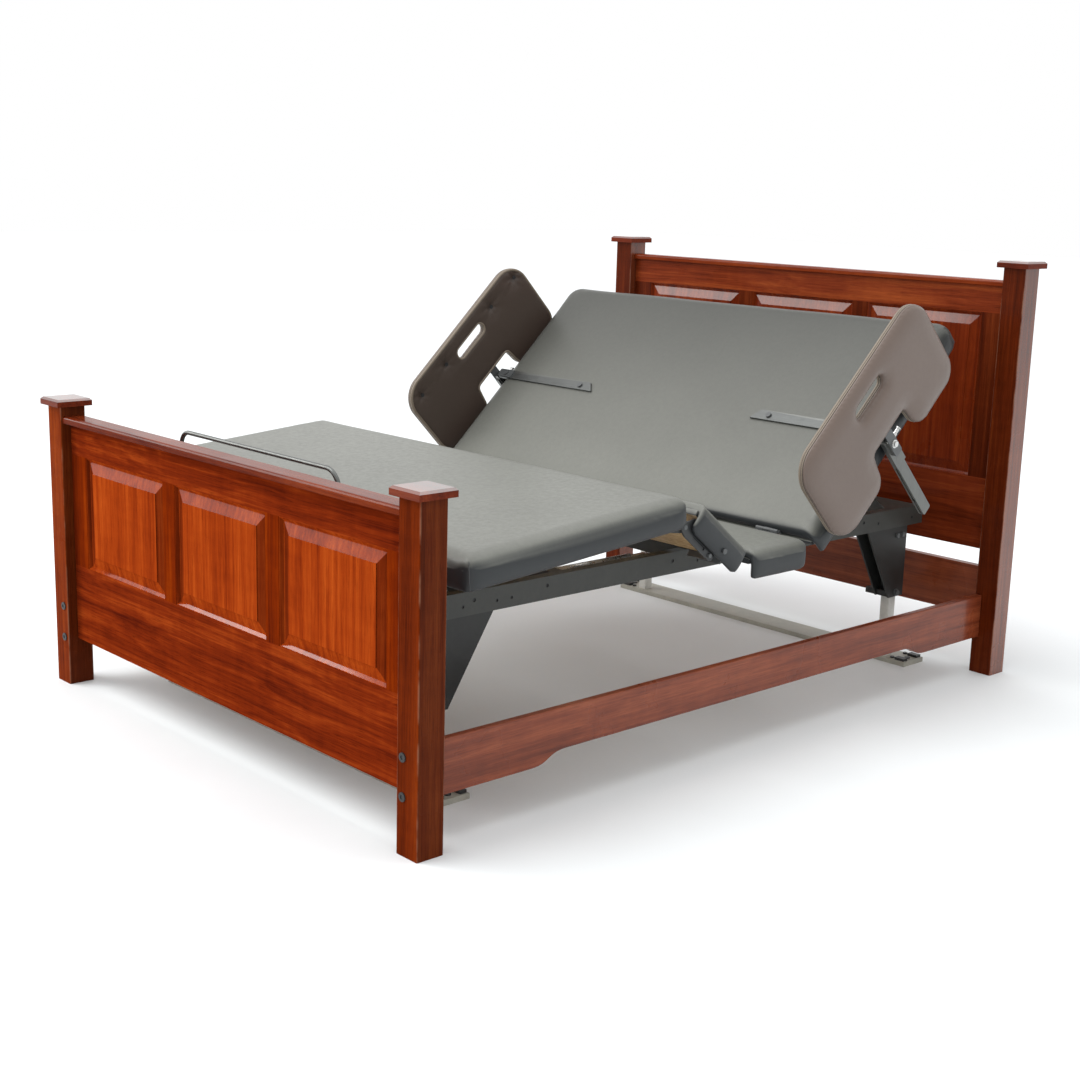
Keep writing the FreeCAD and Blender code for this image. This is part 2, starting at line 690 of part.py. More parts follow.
def make_deck():
    hinge_xs = (-640.0, -320.0, 0.0, 320.0, 640.0)
    put("seat_board", [board(SEAT_Y)])
    put("seat_skirts", side_skirts(SEAT_Y))
    put("seat_cushion", [cushion(SEAT_Y, (0, 0))])
    seat_leaves = hinge_leaves(SEAT_Y[0], -1, THIGH_PIVOT, hinge_xs, (0, 2))
    seat_leaves += hinge_leaves(SEAT_Y[1], 1, BACK_PIVOT, hinge_xs, (0, 2))
    seat_pins = hinge_pins(THIGH_PIVOT, hinge_xs) + hinge_pins(BACK_PIVOT, hinge_xs)
    put("seat_hinges", seat_leaves + seat_pins)

    put("thigh_board", [board(THIGH_Y)], on_thigh)
    put("thigh_skirts", side_skirts(THIGH_Y), on_thigh)
    put("thigh_cushion", [cushion(THIGH_Y, (0, 0))], on_thigh)
    put("thigh_hinge_leaves", hinge_leaves(THIGH_Y[1], 1, THIGH_PIVOT, hinge_xs, (1,)), on_thigh)
    cheeks, pin = lever(THIGH_PIVOT, KNEE_LEVER_ZERO, KNEE_ACT_X, THIGH_Y, (1080.0, 1140.0))
    knee_pin = cyl_x(756.0, 774.5, KNEE_PIVOT[0], KNEE_PIVOT[1], 6.0)
    thigh_plates = thigh_strap(768.0, 774.0)
    hole = cyl_x(750, 780, KNEE_PIVOT[0], KNEE_PIVOT[1], 6.0)
    slot = prism_x([(945, 444, 4), (1004, 444, 4), (1004, 453, 4), (945, 453, 4)], 771, 775)
    put("thigh_brackets", [cheeks] + both(thigh_plates.cut(hole).cut(slot)), on_thigh)
    pins = both(knee_pin.fuse(hex_x(750.0, 756.0, KNEE_PIVOT[0], KNEE_PIVOT[1], 10.0)))
    bolts = both(hex_x(DECK_HALF, DECK_HALF + 4.0, 1050.5, 476.5, 8.0))
    bolts += both(hex_x(774.0, 779.0, 1030.5, 447.0, 6.0))
    put("thigh_pins", [pin] + pins + bolts, on_thigh)

    edge = FOOT_Y[0] + END_SKIRT
    skirts = side_skirts(FOOT_Y, FOOT_CORNERS)
    skirts += end_skirt(FOOT_Y, FOOT_CORNERS, FOOT_Y[0], edge, [(-INNER, INNER)], SKIRT_LOW)
    put("foot_board", [board((edge, FOOT_Y[1]))], on_foot)
    put("foot_skirts", skirts, on_foot)
    put("foot_cushion", [cushion(FOOT_Y, FOOT_CORNERS)], on_foot)
    plates = knee_plates(-1, 761.0, 767.0)
    hole = cyl_x(750, 780, KNEE_PIVOT[0], KNEE_PIVOT[1], 6.05)
    put("foot_brackets", both(plates.cut(hole)) + link_brackets() + retainer_clamps(), on_foot)
    put("mattress_retainer", [retainer()], on_foot)

    edge = BACK_Y[1] - END_SKIRT
    skirts = side_skirts(BACK_Y, BACK_CORNERS)
    spans = [(-INNER, -575.0), (-200.0, 200.0), (575.0, INNER)]
    skirts += end_skirt(BACK_Y, BACK_CORNERS, edge, BACK_Y[1], spans, SKIRT_LOW)
    spans = [(-575.0, -200.0), (200.0, 575.0)]
    skirts += end_skirt(BACK_Y, BACK_CORNERS, edge, BACK_Y[1], spans, PLY_LOW)
    put("back_board", [board((BACK_Y[0], edge))], on_back)
    put("back_skirts", skirts, on_back)
    put("back_cushion", [cushion(BACK_Y, BACK_CORNERS)], on_back)
    put("back_hinge_leaves", hinge_leaves(BACK_Y[0], -1, BACK_PIVOT, hinge_xs, (1,)), on_back)
    cheeks, pin = lever(BACK_PIVOT, -BACK_LEVER_ZERO, BACK_ACT_X, BACK_Y, (1400.0, 1480.0))
    put("back_lever", [cheeks, pin], on_back)


# ---------------------------------------------------------------- assist rails

def sn(points):
    """Outline given along the back section turned into Y, Z corners."""
    return [(S0 + p[0], DECK_TOP + p[1], p[2]) for p in points]


def rail_outline(inset):
    """Outline of the padded panel, drawn in by an amount for the core plate."""
    i = inset
    return sn([(685 - i, -72 + i, 62 - i), (685 - i, 246 - i, 88 - i), (29 + i, 246 - i, 82 - i),
               (28 + i, -75 + i, 88 - i), (258 - i, -75 + i, 52 - i), (278 - i, 28 + i, 16),
               (450 + i, 28 + i, 16), (464 + i, -72 + i, 56 - i)])


def slot_outline(grow):
    g = grow
    return sn([(288 - g, 153 - g, 18), (434 + g, 153 - g, 18), (434 + g, 192 + g, 18), (288 - g, 192 + g, 18)])


def pad(xs, soft_low):
    """One padded face of the panel with the handle slot through it."""
    shape = prism_x(rail_outline(0), xs[0], xs[1])
    shape = shape.cut(prism_x(slot_outline(0), xs[0] - 1, xs[1] + 1))
    return shape


def core_plate():
    """Steel plate inside the pads, with a tongue that hangs in the notch."""
    shape = prism_x(rail_outline(7.0), CORE[0], CORE[1])
    tongue = prism_x(sn([(352, 60, 0), (384, 60, 0), (384, -70, 6), (352, -70, 6)]), CORE[0], CORE[1])
    shape = shape.fuse(tongue).cut(prism_x(slot_outline(6), CORE[0] - 1, CORE[1] + 1))
    return shape.cut(sn_cyl(CORE[0] - 1, CORE[1] + 1, 368, -30, 5)).removeSplitter()


def sn_cyl(x0, x1, s, n, r):
    return cyl_x(x0, x1, S0 + s, DECK_TOP + n, r)


def sn_box(x0, x1, s0, s1, n0, n1):
    return box(x0, x1, S0 + s0, S0 + s1, DECK_TOP + n0, DECK_TOP + n1)


def arm():
    """Fixed drop arm with a rounded top and a groove down each side."""
    shape = sn_box(ARM[0], ARM[1], ARM_S[0], ARM_S[1], ARM_LOW, 8)
    shape = fillet_where(shape, 9.0, lambda b: b.YLength > 30 and b.ZMin > DECK_TOP and b.XMin > 810)
    shape = fillet_where(shape, 6.0, lambda b: b.XLength > 10 and b.ZMax < DECK_TOP + ARM_LOW + 1)
    for s0, s1 in ((349, 354), (382, 387)):
        shape = shape.cut(sn_box(808, 812, s0, s1, ARM_LOW - 1, -8))
    return shape.cut(cyl_y(810.5, S0 + 340, S0 + 400, DECK_TOP - 264, 5.0))


def arm_bar():
    """Flat mounting bar on top of the back section, welded to the arm."""
    points = [(340, S0 + 352, 0), (802, S0 + 352, 0), (802, S0 + 386, 0), (366, S0 + 386, 0)]
    shape = prism_z(points, DECK_TOP, DECK_TOP + 8)
    for x in (403, 769):
        shape = shape.cut(cyl_z(x, S0 + 369, DECK_TOP - 1, DECK_TOP + 9, 5.0))
    return shape


def arm_bracket():
    """Dark strap over the joint between the bar and the arm."""
    return sn_box(738, 803, 354, 384, 8, 12).cut(cyl_z(769, S0 + 369, DECK_TOP + 7, DECK_TOP + 13, 5.0))


def bar_bolts():
    bolts = []
    for x, z in ((403, 8), (769, 12)):
        head = cyl_z(x, S0 + 369, DECK_TOP + z, DECK_TOP + z + 5, 9.0)
        bolts.append(head.fuse(cyl_z(x, S0 + 369, DECK_TOP, DECK_TOP + z, 4.95)))
    return bolts


def carriage():
    """Channel that rides down the arm's grooves, with a spacer to the core plate."""
    web = sn_box(819.5, 822.5, 345, 391, -116, -9)
    shape = web
    for s0, s1, lip0, lip1 in ((345, 349.6, 349.6, 353.4), (386.4, 391, 382.6, 386.4)):
        wall = sn_box(808.4, 822.5, s0, s1, -116, -9)
        lip = sn_box(808.4, 811.6, min(s0, lip0), max(s1, lip1), -116, -9)
        shape = shape.fuse(wall).fuse(lip)
    shape = shape.fuse(sn_box(822.5, 831.5, 352, 384, -64, -12))
    shape = shape.cut(sn_cyl(819, 832, 368, -30, 5))
    hole = cyl_y(815.5, S0 + 386, S0 + 392, DECK_TOP - 30, 2.6)
    return shape.cut(hole).removeSplitter()


def carriage_bolt():
    """Bolt through the core plate's tongue into the carriage."""
    head = sn_cyl(834.5, 836.5, 368, -30, 12).fuse(sn_cyl(836.5, 842.5, 368, -30, 8))
    return head.fuse(sn_cyl(820.0, 834.5, 368, -30, 4.95))


def plunger():
    """Spring plunger: pin and knob that pull away from the arm."""
    y = S0 + 386.6
    pin = cyl_y(815.5, y, S0 + 404, DECK_TOP - 30, 2.5)
    knob = cyl_y(815.5, S0 + 404, S0 + 420, DECK_TOP - 30, 5.5)
    end = cyl_y(815.5, S0 + 420, S0 + 424, DECK_TOP - 30, 7.5)
    return pin.fuse(knob).fuse(end).removeSplitter()


def plunger_barrel():
    """Threaded barrel on the carriage that guides the plunger."""
    barrel = cyl_y(815.5, S0 + 391, S0 + 403, DECK_TOP - 30, 7.0)
    return barrel.cut(cyl_y(815.5, S0 + 390, S0 + 404, DECK_TOP - 30, 2.6))


def tuft_screws():
    shapes = []
    for s in (643, 502, 231, 90):
        shapes.append(sn_cyl(PAD_IN[0] - 1.5, PAD_IN[0], s, 195, 7.0))
    return shapes


def make_assist_rails():
    parts = [("inner_pad", [pad(PAD_IN, 0)]), ("outer_pad", [pad(PAD_OUT, 0)])]
    parts.append(("core_plate", [core_plate()]))
    parts.append(("carriage", [carriage()]))
    parts.append(("plunger", [plunger()]))
    parts.append(("fittings", tuft_screws() + [carriage_bolt(), plunger_barrel()]))
    for name, shapes in parts:
        put("rail_right_" + name, shapes, on_back)
        put("rail_left_" + name, [mirrored(s) for s in shapes], on_back)
    put("rail_arms", both(arm().fuse(arm_bar()).removeSplitter()), on_back)
    bolts = bar_bolts()
    put("rail_arm_brackets", both(arm_bracket()) + bolts + [mirrored(b) for b in bolts], on_back)


# ---------------------------------------------------------------- actuators

def actuator_body(x, y0, y1, motor_way):
    """Motor housing and guide tube of one actuator."""
    tube = cyl_y(x, y0, y1, ACT_Z, TUBE_R)
    tube = tube.cut(cyl_y(x, y0 + 20, y1 + 1, ACT_Z, ROD_R + 0.05))
    return tube


def motor_housing(x, y0):
    """Gearbox and motor at the tail of one actuator."""
    gear = box(x - 32, x + 32, y0 - 70, y0, ACT_Z - 30, ACT_Z + 26)
    gear = fillet_where(gear, 8.0, lambda b: b.YLength > 60)
    neck = box(x - 50, x - 20, y0 - 34, y0 - 6, ACT_Z - 24, ACT_Z + 20)
    motor = cyl_y(x - 70, y0 - 170, y0 - 4, ACT_Z - 2, 28.0)
    return gear.fuse(neck).fuse(motor).removeSplitter()


def hanger(x, y0, y1):
    """Plates that hang one actuator's gearbox from a cross member."""
    shapes = []
    for side in (-1, 1):
        a = x + side * 32.0
        b = x + side * 38.0
        shapes.append(box(a, b, y0, y1, ACT_Z - 20, 440))
    return shapes


def rod_end(x, y_from, slot_y, slot_z, slot_w, slot_h):
    """Actuator rod with a flat slotted end plate."""
    edge = slot_y - slot_w / 2.0 - 12.0
    rod = cyl_y(x, y_from, edge + 2.0, ACT_Z, ROD_R)
    z0, z1 = slot_z
    plate = prism_x([(edge, z0 - 11, 6), (slot_y + slot_w / 2.0 + 11, z0 - 11, 6),
                     (slot_y + slot_w / 2.0 + 11, z1 + 11, 6), (edge, z1 + 11, 6)], x - 6.5, x + 6.5)
    half = slot_w / 2.0
    slot = prism_x([(slot_y - half, z0, half - 0.1), (slot_y + half, z0, half - 0.1),
                    (slot_y + half, z1, half - 0.1), (slot_y - half, z1, half - 0.1)], x - 8, x + 8)
    return rod.fuse(plate).cut(slot).removeSplitter()


def make_actuators():
    back_pin = turn_point((BACK_PIVOT[0], BACK_PIVOT[1] - LEVER_R), BACK_PIVOT, BACK_ANGLE - BACK_LEVER_ZERO)
    knee_pin = turn_point((THIGH_PIVOT[0], THIGH_PIVOT[1] - LEVER_R), THIGH_PIVOT,
                          KNEE_LEVER_ZERO - THIGH_ANGLE)
    back_body = actuator_body(BACK_ACT_X, 770.0, 1250.0, 1)
    knee_body = actuator_body(KNEE_ACT_X, 770.0, 1030.0, 1)
    put("actuator_tubes", [back_body, knee_body])
    put("actuator_motors", [motor_housing(BACK_ACT_X, 770.0), motor_housing(KNEE_ACT_X, 770.0)])
    back_rod = rod_end(BACK_ACT_X, 1000.0, back_pin[0] - 1.3, (381.0, 420.0), 16.2, 0)
    knee_rod = rod_end(KNEE_ACT_X, 880.0, knee_pin[0] + 0.4, (380.0, 406.5), 14.2, 0)
    put("back_actuator_rod", [back_rod])
    put("knee_actuator_rod", [knee_rod])
    print("back pin", back_pin, "knee pin", knee_pin, "link", link_geometry())


make_surround()
make_lift()
make_deck()
make_assist_rails()
make_actuators()
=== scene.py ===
import bpy
import bmesh
import math
import numpy as np
from mathutils import Vector, Matrix, kdtree, noise as mnoise


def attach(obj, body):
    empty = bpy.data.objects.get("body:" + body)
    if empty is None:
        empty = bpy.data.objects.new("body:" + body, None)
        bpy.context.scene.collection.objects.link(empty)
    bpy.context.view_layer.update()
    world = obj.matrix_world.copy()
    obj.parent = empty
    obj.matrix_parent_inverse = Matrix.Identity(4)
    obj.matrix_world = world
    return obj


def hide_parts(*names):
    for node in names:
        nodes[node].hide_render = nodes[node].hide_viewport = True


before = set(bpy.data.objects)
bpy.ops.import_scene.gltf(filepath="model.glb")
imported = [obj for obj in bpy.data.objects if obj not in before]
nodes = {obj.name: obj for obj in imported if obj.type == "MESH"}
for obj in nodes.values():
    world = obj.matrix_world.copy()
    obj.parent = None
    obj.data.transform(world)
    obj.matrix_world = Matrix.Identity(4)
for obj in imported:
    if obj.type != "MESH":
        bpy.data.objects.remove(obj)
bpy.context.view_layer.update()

# ------------------------------------------------------------------ pose of each section
# Metres throughout. Places along the bed are written from the foot posts' outer face, as y + SHIFT.
SHIFT = 1.164
# Top of the flat deck, half its width, the low edge of its skirts, and the cover's gap inside the CAD.
TOP = 0.538
DECK_HALF = 0.795
SKIRT_LOW = 0.455
COVER = 0.0022
# Hinge lines as (y, z), and the angles of the sections in the pose that the frame is built in.
BACK_PIVOT = (1.390 - SHIFT, TOP)
THIGH_PIVOT = (1.149 - SHIFT, TOP)
KNEE_FLAT = (0.9055 - SHIFT, SKIRT_LOW)
BACK_DEG = 43.9
THIGH_DEG = 38.9
FOOT_DEG = 4.75


def about_x(pivot, degrees):
    """Turn about an axis along X through (y, z)."""
    there = Matrix.Translation((0, pivot[0], pivot[1]))
    return there @ Matrix.Rotation(math.radians(degrees), 4, "X") @ there.inverted()


BACK_PLACE = about_x(BACK_PIVOT, BACK_DEG)
THIGH_PLACE = about_x(THIGH_PIVOT, -THIGH_DEG)
knee_up = THIGH_PLACE @ Vector((0, KNEE_FLAT[0], KNEE_FLAT[1]))
knee_rise = Matrix.Translation((0, knee_up.y - KNEE_FLAT[0], knee_up.z - KNEE_FLAT[1]))
FOOT_PLACE = knee_rise @ about_x(KNEE_FLAT, FOOT_DEG)
SEAT_PLACE = Matrix.Identity(4)


# ------------------------------------------------------------------ shader helpers
class Tree:
    """Small helper that adds nodes and links to one material."""

    def __init__(self, name):
        self.mat = bpy.data.materials.new(name)
        self.mat.use_nodes = True
        self.nt = self.mat.node_tree
        self.nt.nodes.clear()
        self.out = self.nt.nodes.new("ShaderNodeOutputMaterial")
        self.bsdf = self.nt.nodes.new("ShaderNodeBsdfPrincipled")
        self.nt.links.new(self.bsdf.outputs[0], self.out.inputs[0])
        self.coord = self.nt.nodes.new("ShaderNodeTexCoord")

    def link(self, a, b):
        """Joins an output to an input."""
        self.nt.links.new(a, b)

    def feed(self, socket, value):
        """Gives an input a number, a colour or another node's output."""
        if isinstance(value, (int, float)):
            socket.default_value = value
        elif isinstance(value, (tuple, list)):
            n = len(socket.default_value)
            v = list(value) + [1.0] * (n - len(value))
            socket.default_value = v[:n]
        else:
            self.link(value, socket)

    def mapping(self, scale=(1, 1, 1), rot=(0, 0, 0), loc=(0, 0, 0), vec=None):
        """Object coordinates, or vec, stretched, turned and moved."""
        n = self.nt.nodes.new("ShaderNodeMapping")
        self.link(vec or self.coord.outputs["Object"], n.inputs["Vector"])
        n.inputs["Scale"].default_value = scale
        n.inputs["Rotation"].default_value = rot
        n.inputs["Location"].default_value = loc
        return n.outputs[0]

    def noise(self, vec, scale=1.0, detail=3.0, rough=0.5, distort=0.0):
        """Smooth noise from 0 to 1."""
        n = self.nt.nodes.new("ShaderNodeTexNoise")
        self.link(vec, n.inputs["Vector"])
        n.inputs["Scale"].default_value = scale
        n.inputs["Detail"].default_value = detail
        n.inputs["Roughness"].default_value = rough
        n.inputs["Distortion"].default_value = distort
        return n.outputs[0]

    def voronoi(self, vec, scale=1.0, feature="F1"):
        """Distance to the nearest cell point."""
        n = self.nt.nodes.new("ShaderNodeTexVoronoi")
        n.feature = feature
        self.link(vec, n.inputs["Vector"])
        n.inputs["Scale"].default_value = scale
        return n.outputs["Distance"]

    def math(self, op, a, b=0.0, clamp=False):
        """One sum with two inputs."""
        n = self.nt.nodes.new("ShaderNodeMath")
        n.operation = op
        n.use_clamp = clamp
        self.feed(n.inputs[0], a)
        self.feed(n.inputs[1], b)
        return n.outputs[0]

    def span(self, v, a, b, c=0.0, d=1.0):
        """Maps a..b onto c..d, clamped."""
        n = self.nt.nodes.new("ShaderNodeMapRange")
        self.feed(n.inputs[0], v)
        for i, x in enumerate((a, b, c, d)):
            n.inputs[i + 1].default_value = x
        return n.outputs[0]

    def ramp(self, v, stops):
        """Colour by value, from a list of (position, colour)."""
        n = self.nt.nodes.new("ShaderNodeValToRGB")
        self.feed(n.inputs[0], v)
        e = n.color_ramp.elements
        while len(e) < len(stops):
            e.new(0.5)
        for i, (pos, col) in enumerate(stops):
            e[i].position = pos
            e[i].color = (*col, 1.0)
        return n.outputs[0]

    def mix(self, fac, a, b, how="MIX"):
        """Blend of two colours."""
        n = self.nt.nodes.new("ShaderNodeMix")
        n.data_type = "RGBA"
        n.blend_type = how
        self.feed(n.inputs[0], fac)
        self.feed(n.inputs[6], a)
        self.feed(n.inputs[7], b)
        return n.outputs[2]

    def bump(self, height, strength, distance, normal=None):
        """Normal of a bumpy surface. distance is in metres."""
        n = self.nt.nodes.new("ShaderNodeBump")
        n.inputs["Strength"].default_value = strength
        n.inputs["Distance"].default_value = distance
        self.link(height, n.inputs["Height"])
        if normal is not None:
            self.link(normal, n.inputs["Normal"])
        return n.outputs[0]

    def split(self, vec=None):
        """The x, y and z of object coordinates, or of vec."""
        n = self.nt.nodes.new("ShaderNodeSeparateXYZ")
        self.link(vec or self.coord.outputs["Object"], n.inputs[0])
        return n.outputs

    def set(self, **kw):
        """Feeds the surface's inputs by short names, and returns the material."""
        names = {"color": "Base Color", "rough": "Roughness", "metal": "Metallic", "normal": "Normal",
                 "coat": "Coat Weight", "coat_rough": "Coat Roughness", "sheen": "Sheen Weight",
                 "spec": "Specular IOR Level", "coat_normal": "Coat Normal", "coat_ior": "Coat IOR"}
        for k, v in kw.items():
            self.feed(self.bsdf.inputs[names[k]], v)
        return self.mat


def along(axis, stretch, across):
    """Mapping scale that is long along the grain axis."""
    s = [across, across, across]
    s["XYZ".index(axis)] = stretch
    return tuple(s)


def shade(colour, factor, lift=0.0):
    """Colour made darker or lighter, kept below full white."""
    return tuple(min(1, c * factor + lift) for c in colour)


def wood(name, axis, dark, mid, light, figure=0.5, offset=(0, 0, 0), rough=0.30, streak=0.5, coat=0.15,
         slant=0.0, spec=0.25, edges=None, gloss_up=None, coat_ior=1.5, stripes=0.24):
    """Satin mahogany with pores, ribbon stripes and broad figure along one axis.

    edges gives the x and y of long edges that are painted pale: a painted highlight along them, broken up by
    noise like rubbed wear. gloss_up is the coat of faces that look up.
    """
    t = Tree(name)
    rot = (0, slant, 0) if axis != "Y" else (slant, 0, 0)
    wavy = t.noise(t.mapping(along(axis, 0.9, 3.2), loc=offset), 1.0, 2.0, 0.5)
    base = t.mapping(along(axis, 0.55, 9.0), rot, offset)
    comb = t.nt.nodes.new("ShaderNodeCombineXYZ")
    w = t.math("MULTIPLY", t.math("SUBTRACT", wavy, 0.5), 1.6 * figure)
    for i in range(3):
        t.link(w, comb.inputs[i])
    bent = t.nt.nodes.new("ShaderNodeVectorMath")
    bent.operation = "ADD"
    t.link(base, bent.inputs[0])
    t.link(comb.outputs[0], bent.inputs[1])
    broad = t.noise(bent.outputs[0], 1.0, 2.5, 0.55, 0.4)
    ribbon = t.noise(bent.outputs[0], 4.2, 3.0, 0.6, 0.2)
    lines = t.noise(t.mapping(along(axis, 1.5, 85.0), loc=offset), 1.0, 2.0, 0.55)
    fine = t.noise(t.mapping(along(axis, 7.0, 330.0), loc=offset), 1.0, 3.0, 0.6)
    pores = t.noise(t.mapping(along(axis, 22.0, 900.0), loc=offset), 1.0, 1.0, 0.5)
    cross = t.noise(t.mapping(along(axis, 26.0, 7.0), loc=offset), 1.0, 2.0, 0.5)
    parts = ((broad, 0.58 - stripes), (ribbon, 0.30 * streak + 0.10), (lines, stripes), (fine, 0.20),
             (cross, 0.08))
    v = 0.0
    for noise_out, weight in parts:
        v = t.math("ADD", t.math("MULTIPLY", noise_out, weight), v)
    middle = 0.5 * sum(weight for noise_out, weight in parts)
    col = t.ramp(t.span(v, middle - 0.15, middle + 0.17), [(0.0, dark), (0.48, mid), (1.0, light)])
    col = t.mix(t.span(pores, 0.60, 0.72, 0.0, 0.5), col, shade(dark, 0.5))
    if edges:
        x, y, z = t.split()
        mask = 1.0
        for out, lines_at in ((x, edges[0]), (y, edges[1])):
            near = 0.0
            for at in lines_at:
                gap = t.math("ABSOLUTE", t.math("SUBTRACT", t.math("ABSOLUTE", out), at))
                near = t.math("MAXIMUM", t.span(gap, 0.0008, 0.0042, 1.0, 0.0), near)
            mask = t.math("MULTIPLY", near, mask)
        # pale edges: painted highlight along the long edges, patchy like rubbed wear
        highlight_and_wear = t.span(t.noise(t.mapping((14, 14, 14)), 1.0, 4.0), 0.40, 0.58)
        col = t.mix(t.math("MULTIPLY", t.math("MULTIPLY", mask, highlight_and_wear), 0.42), col, (0.36, 0.18, 0.11))
    h = t.math("ADD", t.math("MULTIPLY", fine, 0.5), t.math("MULTIPLY", pores, 0.5))
    n = t.bump(h, 0.10, 0.0006)
    wobble = t.noise(t.mapping(along(axis, 3.0, 9.0)), 1.0, 1.0)
    n2 = t.bump(wobble, 0.05, 0.004)
    r = t.span(t.noise(t.mapping((6, 6, 6)), 1.0, 4.0), 0.3, 0.7, rough - 0.05, rough + 0.08)
    if gloss_up:
        coat = t.span(t.split(t.coord.outputs["Normal"])[2], 0.12, 0.25, coat, gloss_up)
    return t.set(color=col, rough=r, normal=n, coat=coat, coat_rough=0.09, coat_normal=n2, spec=spec,
                 coat_ior=coat_ior)


def coated_metal(name, colour, rough=0.42):
    """Powder-coated steel: fine orange-peel texture and faint dust."""
    t = Tree(name)
    peel = t.noise(t.mapping((1, 1, 1)), 900.0, 2.0, 0.6)
    dust = t.noise(t.mapping((1, 1, 1)), 14.0, 5.0, 0.65)
    speckle = t.noise(t.mapping((1, 1, 1)), 420.0, 3.0, 0.7)
    col = t.mix(t.span(dust, 0.35, 0.68), shade(colour, 0.86), shade(colour, 1.14, 0.004))
    col = t.mix(t.span(speckle, 0.55, 0.75, 0.0, 0.22), col, shade(colour, 1.7, 0.01))
    n = t.bump(peel, 0.10, 0.0004)
    r = t.span(dust, 0.3, 0.7, rough - 0.06, rough + 0.08)
    return t.set(color=col, rough=r, normal=n, spec=0.4)


def brushed(name, colour, axis, rough=0.34):
    """Grey steel with fine lines along one axis and small marks."""
    t = Tree(name)
    lines = t.noise(t.mapping(along(axis, 12.0, 1400.0)), 1.0, 2.0, 0.6)
    marks = t.noise(t.mapping((1, 1, 1)), 40.0, 5.0, 0.7)
    col = t.mix(t.span(lines, 0.3, 0.7), shade(colour, 0.86), shade(colour, 1.12))
    col = t.mix(t.span(marks, 0.62, 0.75, 0.0, 0.4), col, shade(colour, 0.55))
    r = t.span(marks, 0.3, 0.7, rough - 0.07, rough + 0.10)
    return t.set(color=col, rough=r, metal=0.85, normal=t.bump(lines, 0.12, 0.0002))


def vinyl(name, colour, rough=0.40, grain=0.5, lit_top_colour=None, spec=0.45, shade_with_height=None):
    """Upholstery vinyl: pebble grain and slight mottling.

    lit_top_colour is the colour of faces that look up: painted light on the top, while the sides keep the
    darker base colour as painted shade. shade_with_height is (low z, high z, brightness left at the high z):
    painted shade that darkens towards the top.
    """
    t = Tree(name)
    cells = t.voronoi(t.mapping((1, 1, 1)), 850.0, "SMOOTH_F1")
    fine = t.noise(t.mapping((1, 1, 1)), 2200.0, 2.0)
    mottle = t.noise(t.mapping((1, 1, 1)), 3.5, 3.0, 0.55)
    small = t.noise(t.mapping((1, 1, 1)), 70.0, 3.0, 0.6)
    col = t.mix(t.span(mottle, 0.3, 0.7), shade(colour, 0.95), shade(colour, 1.05))
    # painted light and shade: faces that look up get the lighter lit colour, the sides keep the darker shaded
    # base colour
    if lit_top_colour is not None:
        up = t.split(t.coord.outputs["Normal"])[2]
        top = t.mix(t.span(mottle, 0.3, 0.7), shade(lit_top_colour, 0.96), shade(lit_top_colour, 1.04))
        col = t.mix(t.span(up, 0.22, 0.72), col, top)
    # painted shade: the colour darkens towards the top of the piece
    if shade_with_height:
        height = t.span(t.split()[2], shade_with_height[0], shade_with_height[1], 0.0, 1.0 - shade_with_height[2])
        col = t.mix(height, col, (0.0, 0.0, 0.0))
    col = t.mix(t.span(small, 0.35, 0.7, 0.0, 0.07), col, shade(colour, 0.7))
    col = t.mix(t.span(cells, 0.45, 0.75, 0.0, 0.16), col, shade(colour, 0.6))
    ripple = t.noise(t.mapping((1, 1, 1)), 5.0, 1.5, 0.5)
    h = t.math("ADD", t.math("MULTIPLY", cells, 0.6), t.math("MULTIPLY", fine, 0.3))
    n = t.bump(h, 0.16 * grain, 0.0004)
    n = t.bump(ripple, 0.05, 0.006, n)
    r = t.span(small, 0.3, 0.7, rough - 0.04, rough + 0.06)
    return t.set(color=col, rough=r, normal=n, spec=spec, sheen=0.04)


def plywood_mat(name):
    """Raw plywood with pale layers at its edges."""
    t = Tree(name)
    g1 = t.noise(t.mapping((55.0, 2.0, 300.0)), 1.0, 4.0, 0.6, 0.3)
    g2 = t.noise(t.mapping((300.0, 6.0, 900.0)), 1.0, 2.0)
    layers = t.noise(t.mapping((0.6, 0.6, 420.0)), 1.0, 1.0)
    v = t.math("ADD", t.math("MULTIPLY", g1, 0.7), t.math("MULTIPLY", layers, 0.3))
    col = t.ramp(t.span(v, 0.32, 0.68), [(0.0, (0.30, 0.17, 0.07)), (0.5, (0.47, 0.31, 0.15)),
                                         (1.0, (0.62, 0.46, 0.26))])
    return t.set(color=col, rough=0.62, normal=t.bump(g2, 0.18, 0.0005))


MATERIALS = {}
RED_D, RED_M, RED_L = (0.064, 0.0065, 0.0025), (0.172, 0.0195, 0.0036), (0.34, 0.054, 0.008)
POST_EDGES = ((0.775, 0.850), (SHIFT, SHIFT - 0.075))


def add_wood(key, axis, dark, mid, light, **look):
    """Keeps one wood, with its grain along an axis and its three colours from dark to light."""
    MATERIALS[key] = wood("mahogany_" + key, axis, dark, mid, light, **look)


add_wood("panel", "Z", (0.150, 0.015, 0.003), (0.285, 0.037, 0.0045), (0.43, 0.072, 0.009),
         figure=0.35, streak=0.8, rough=0.32, coat=0.0, spec=0.0, gloss_up=0.9, stripes=0.34)
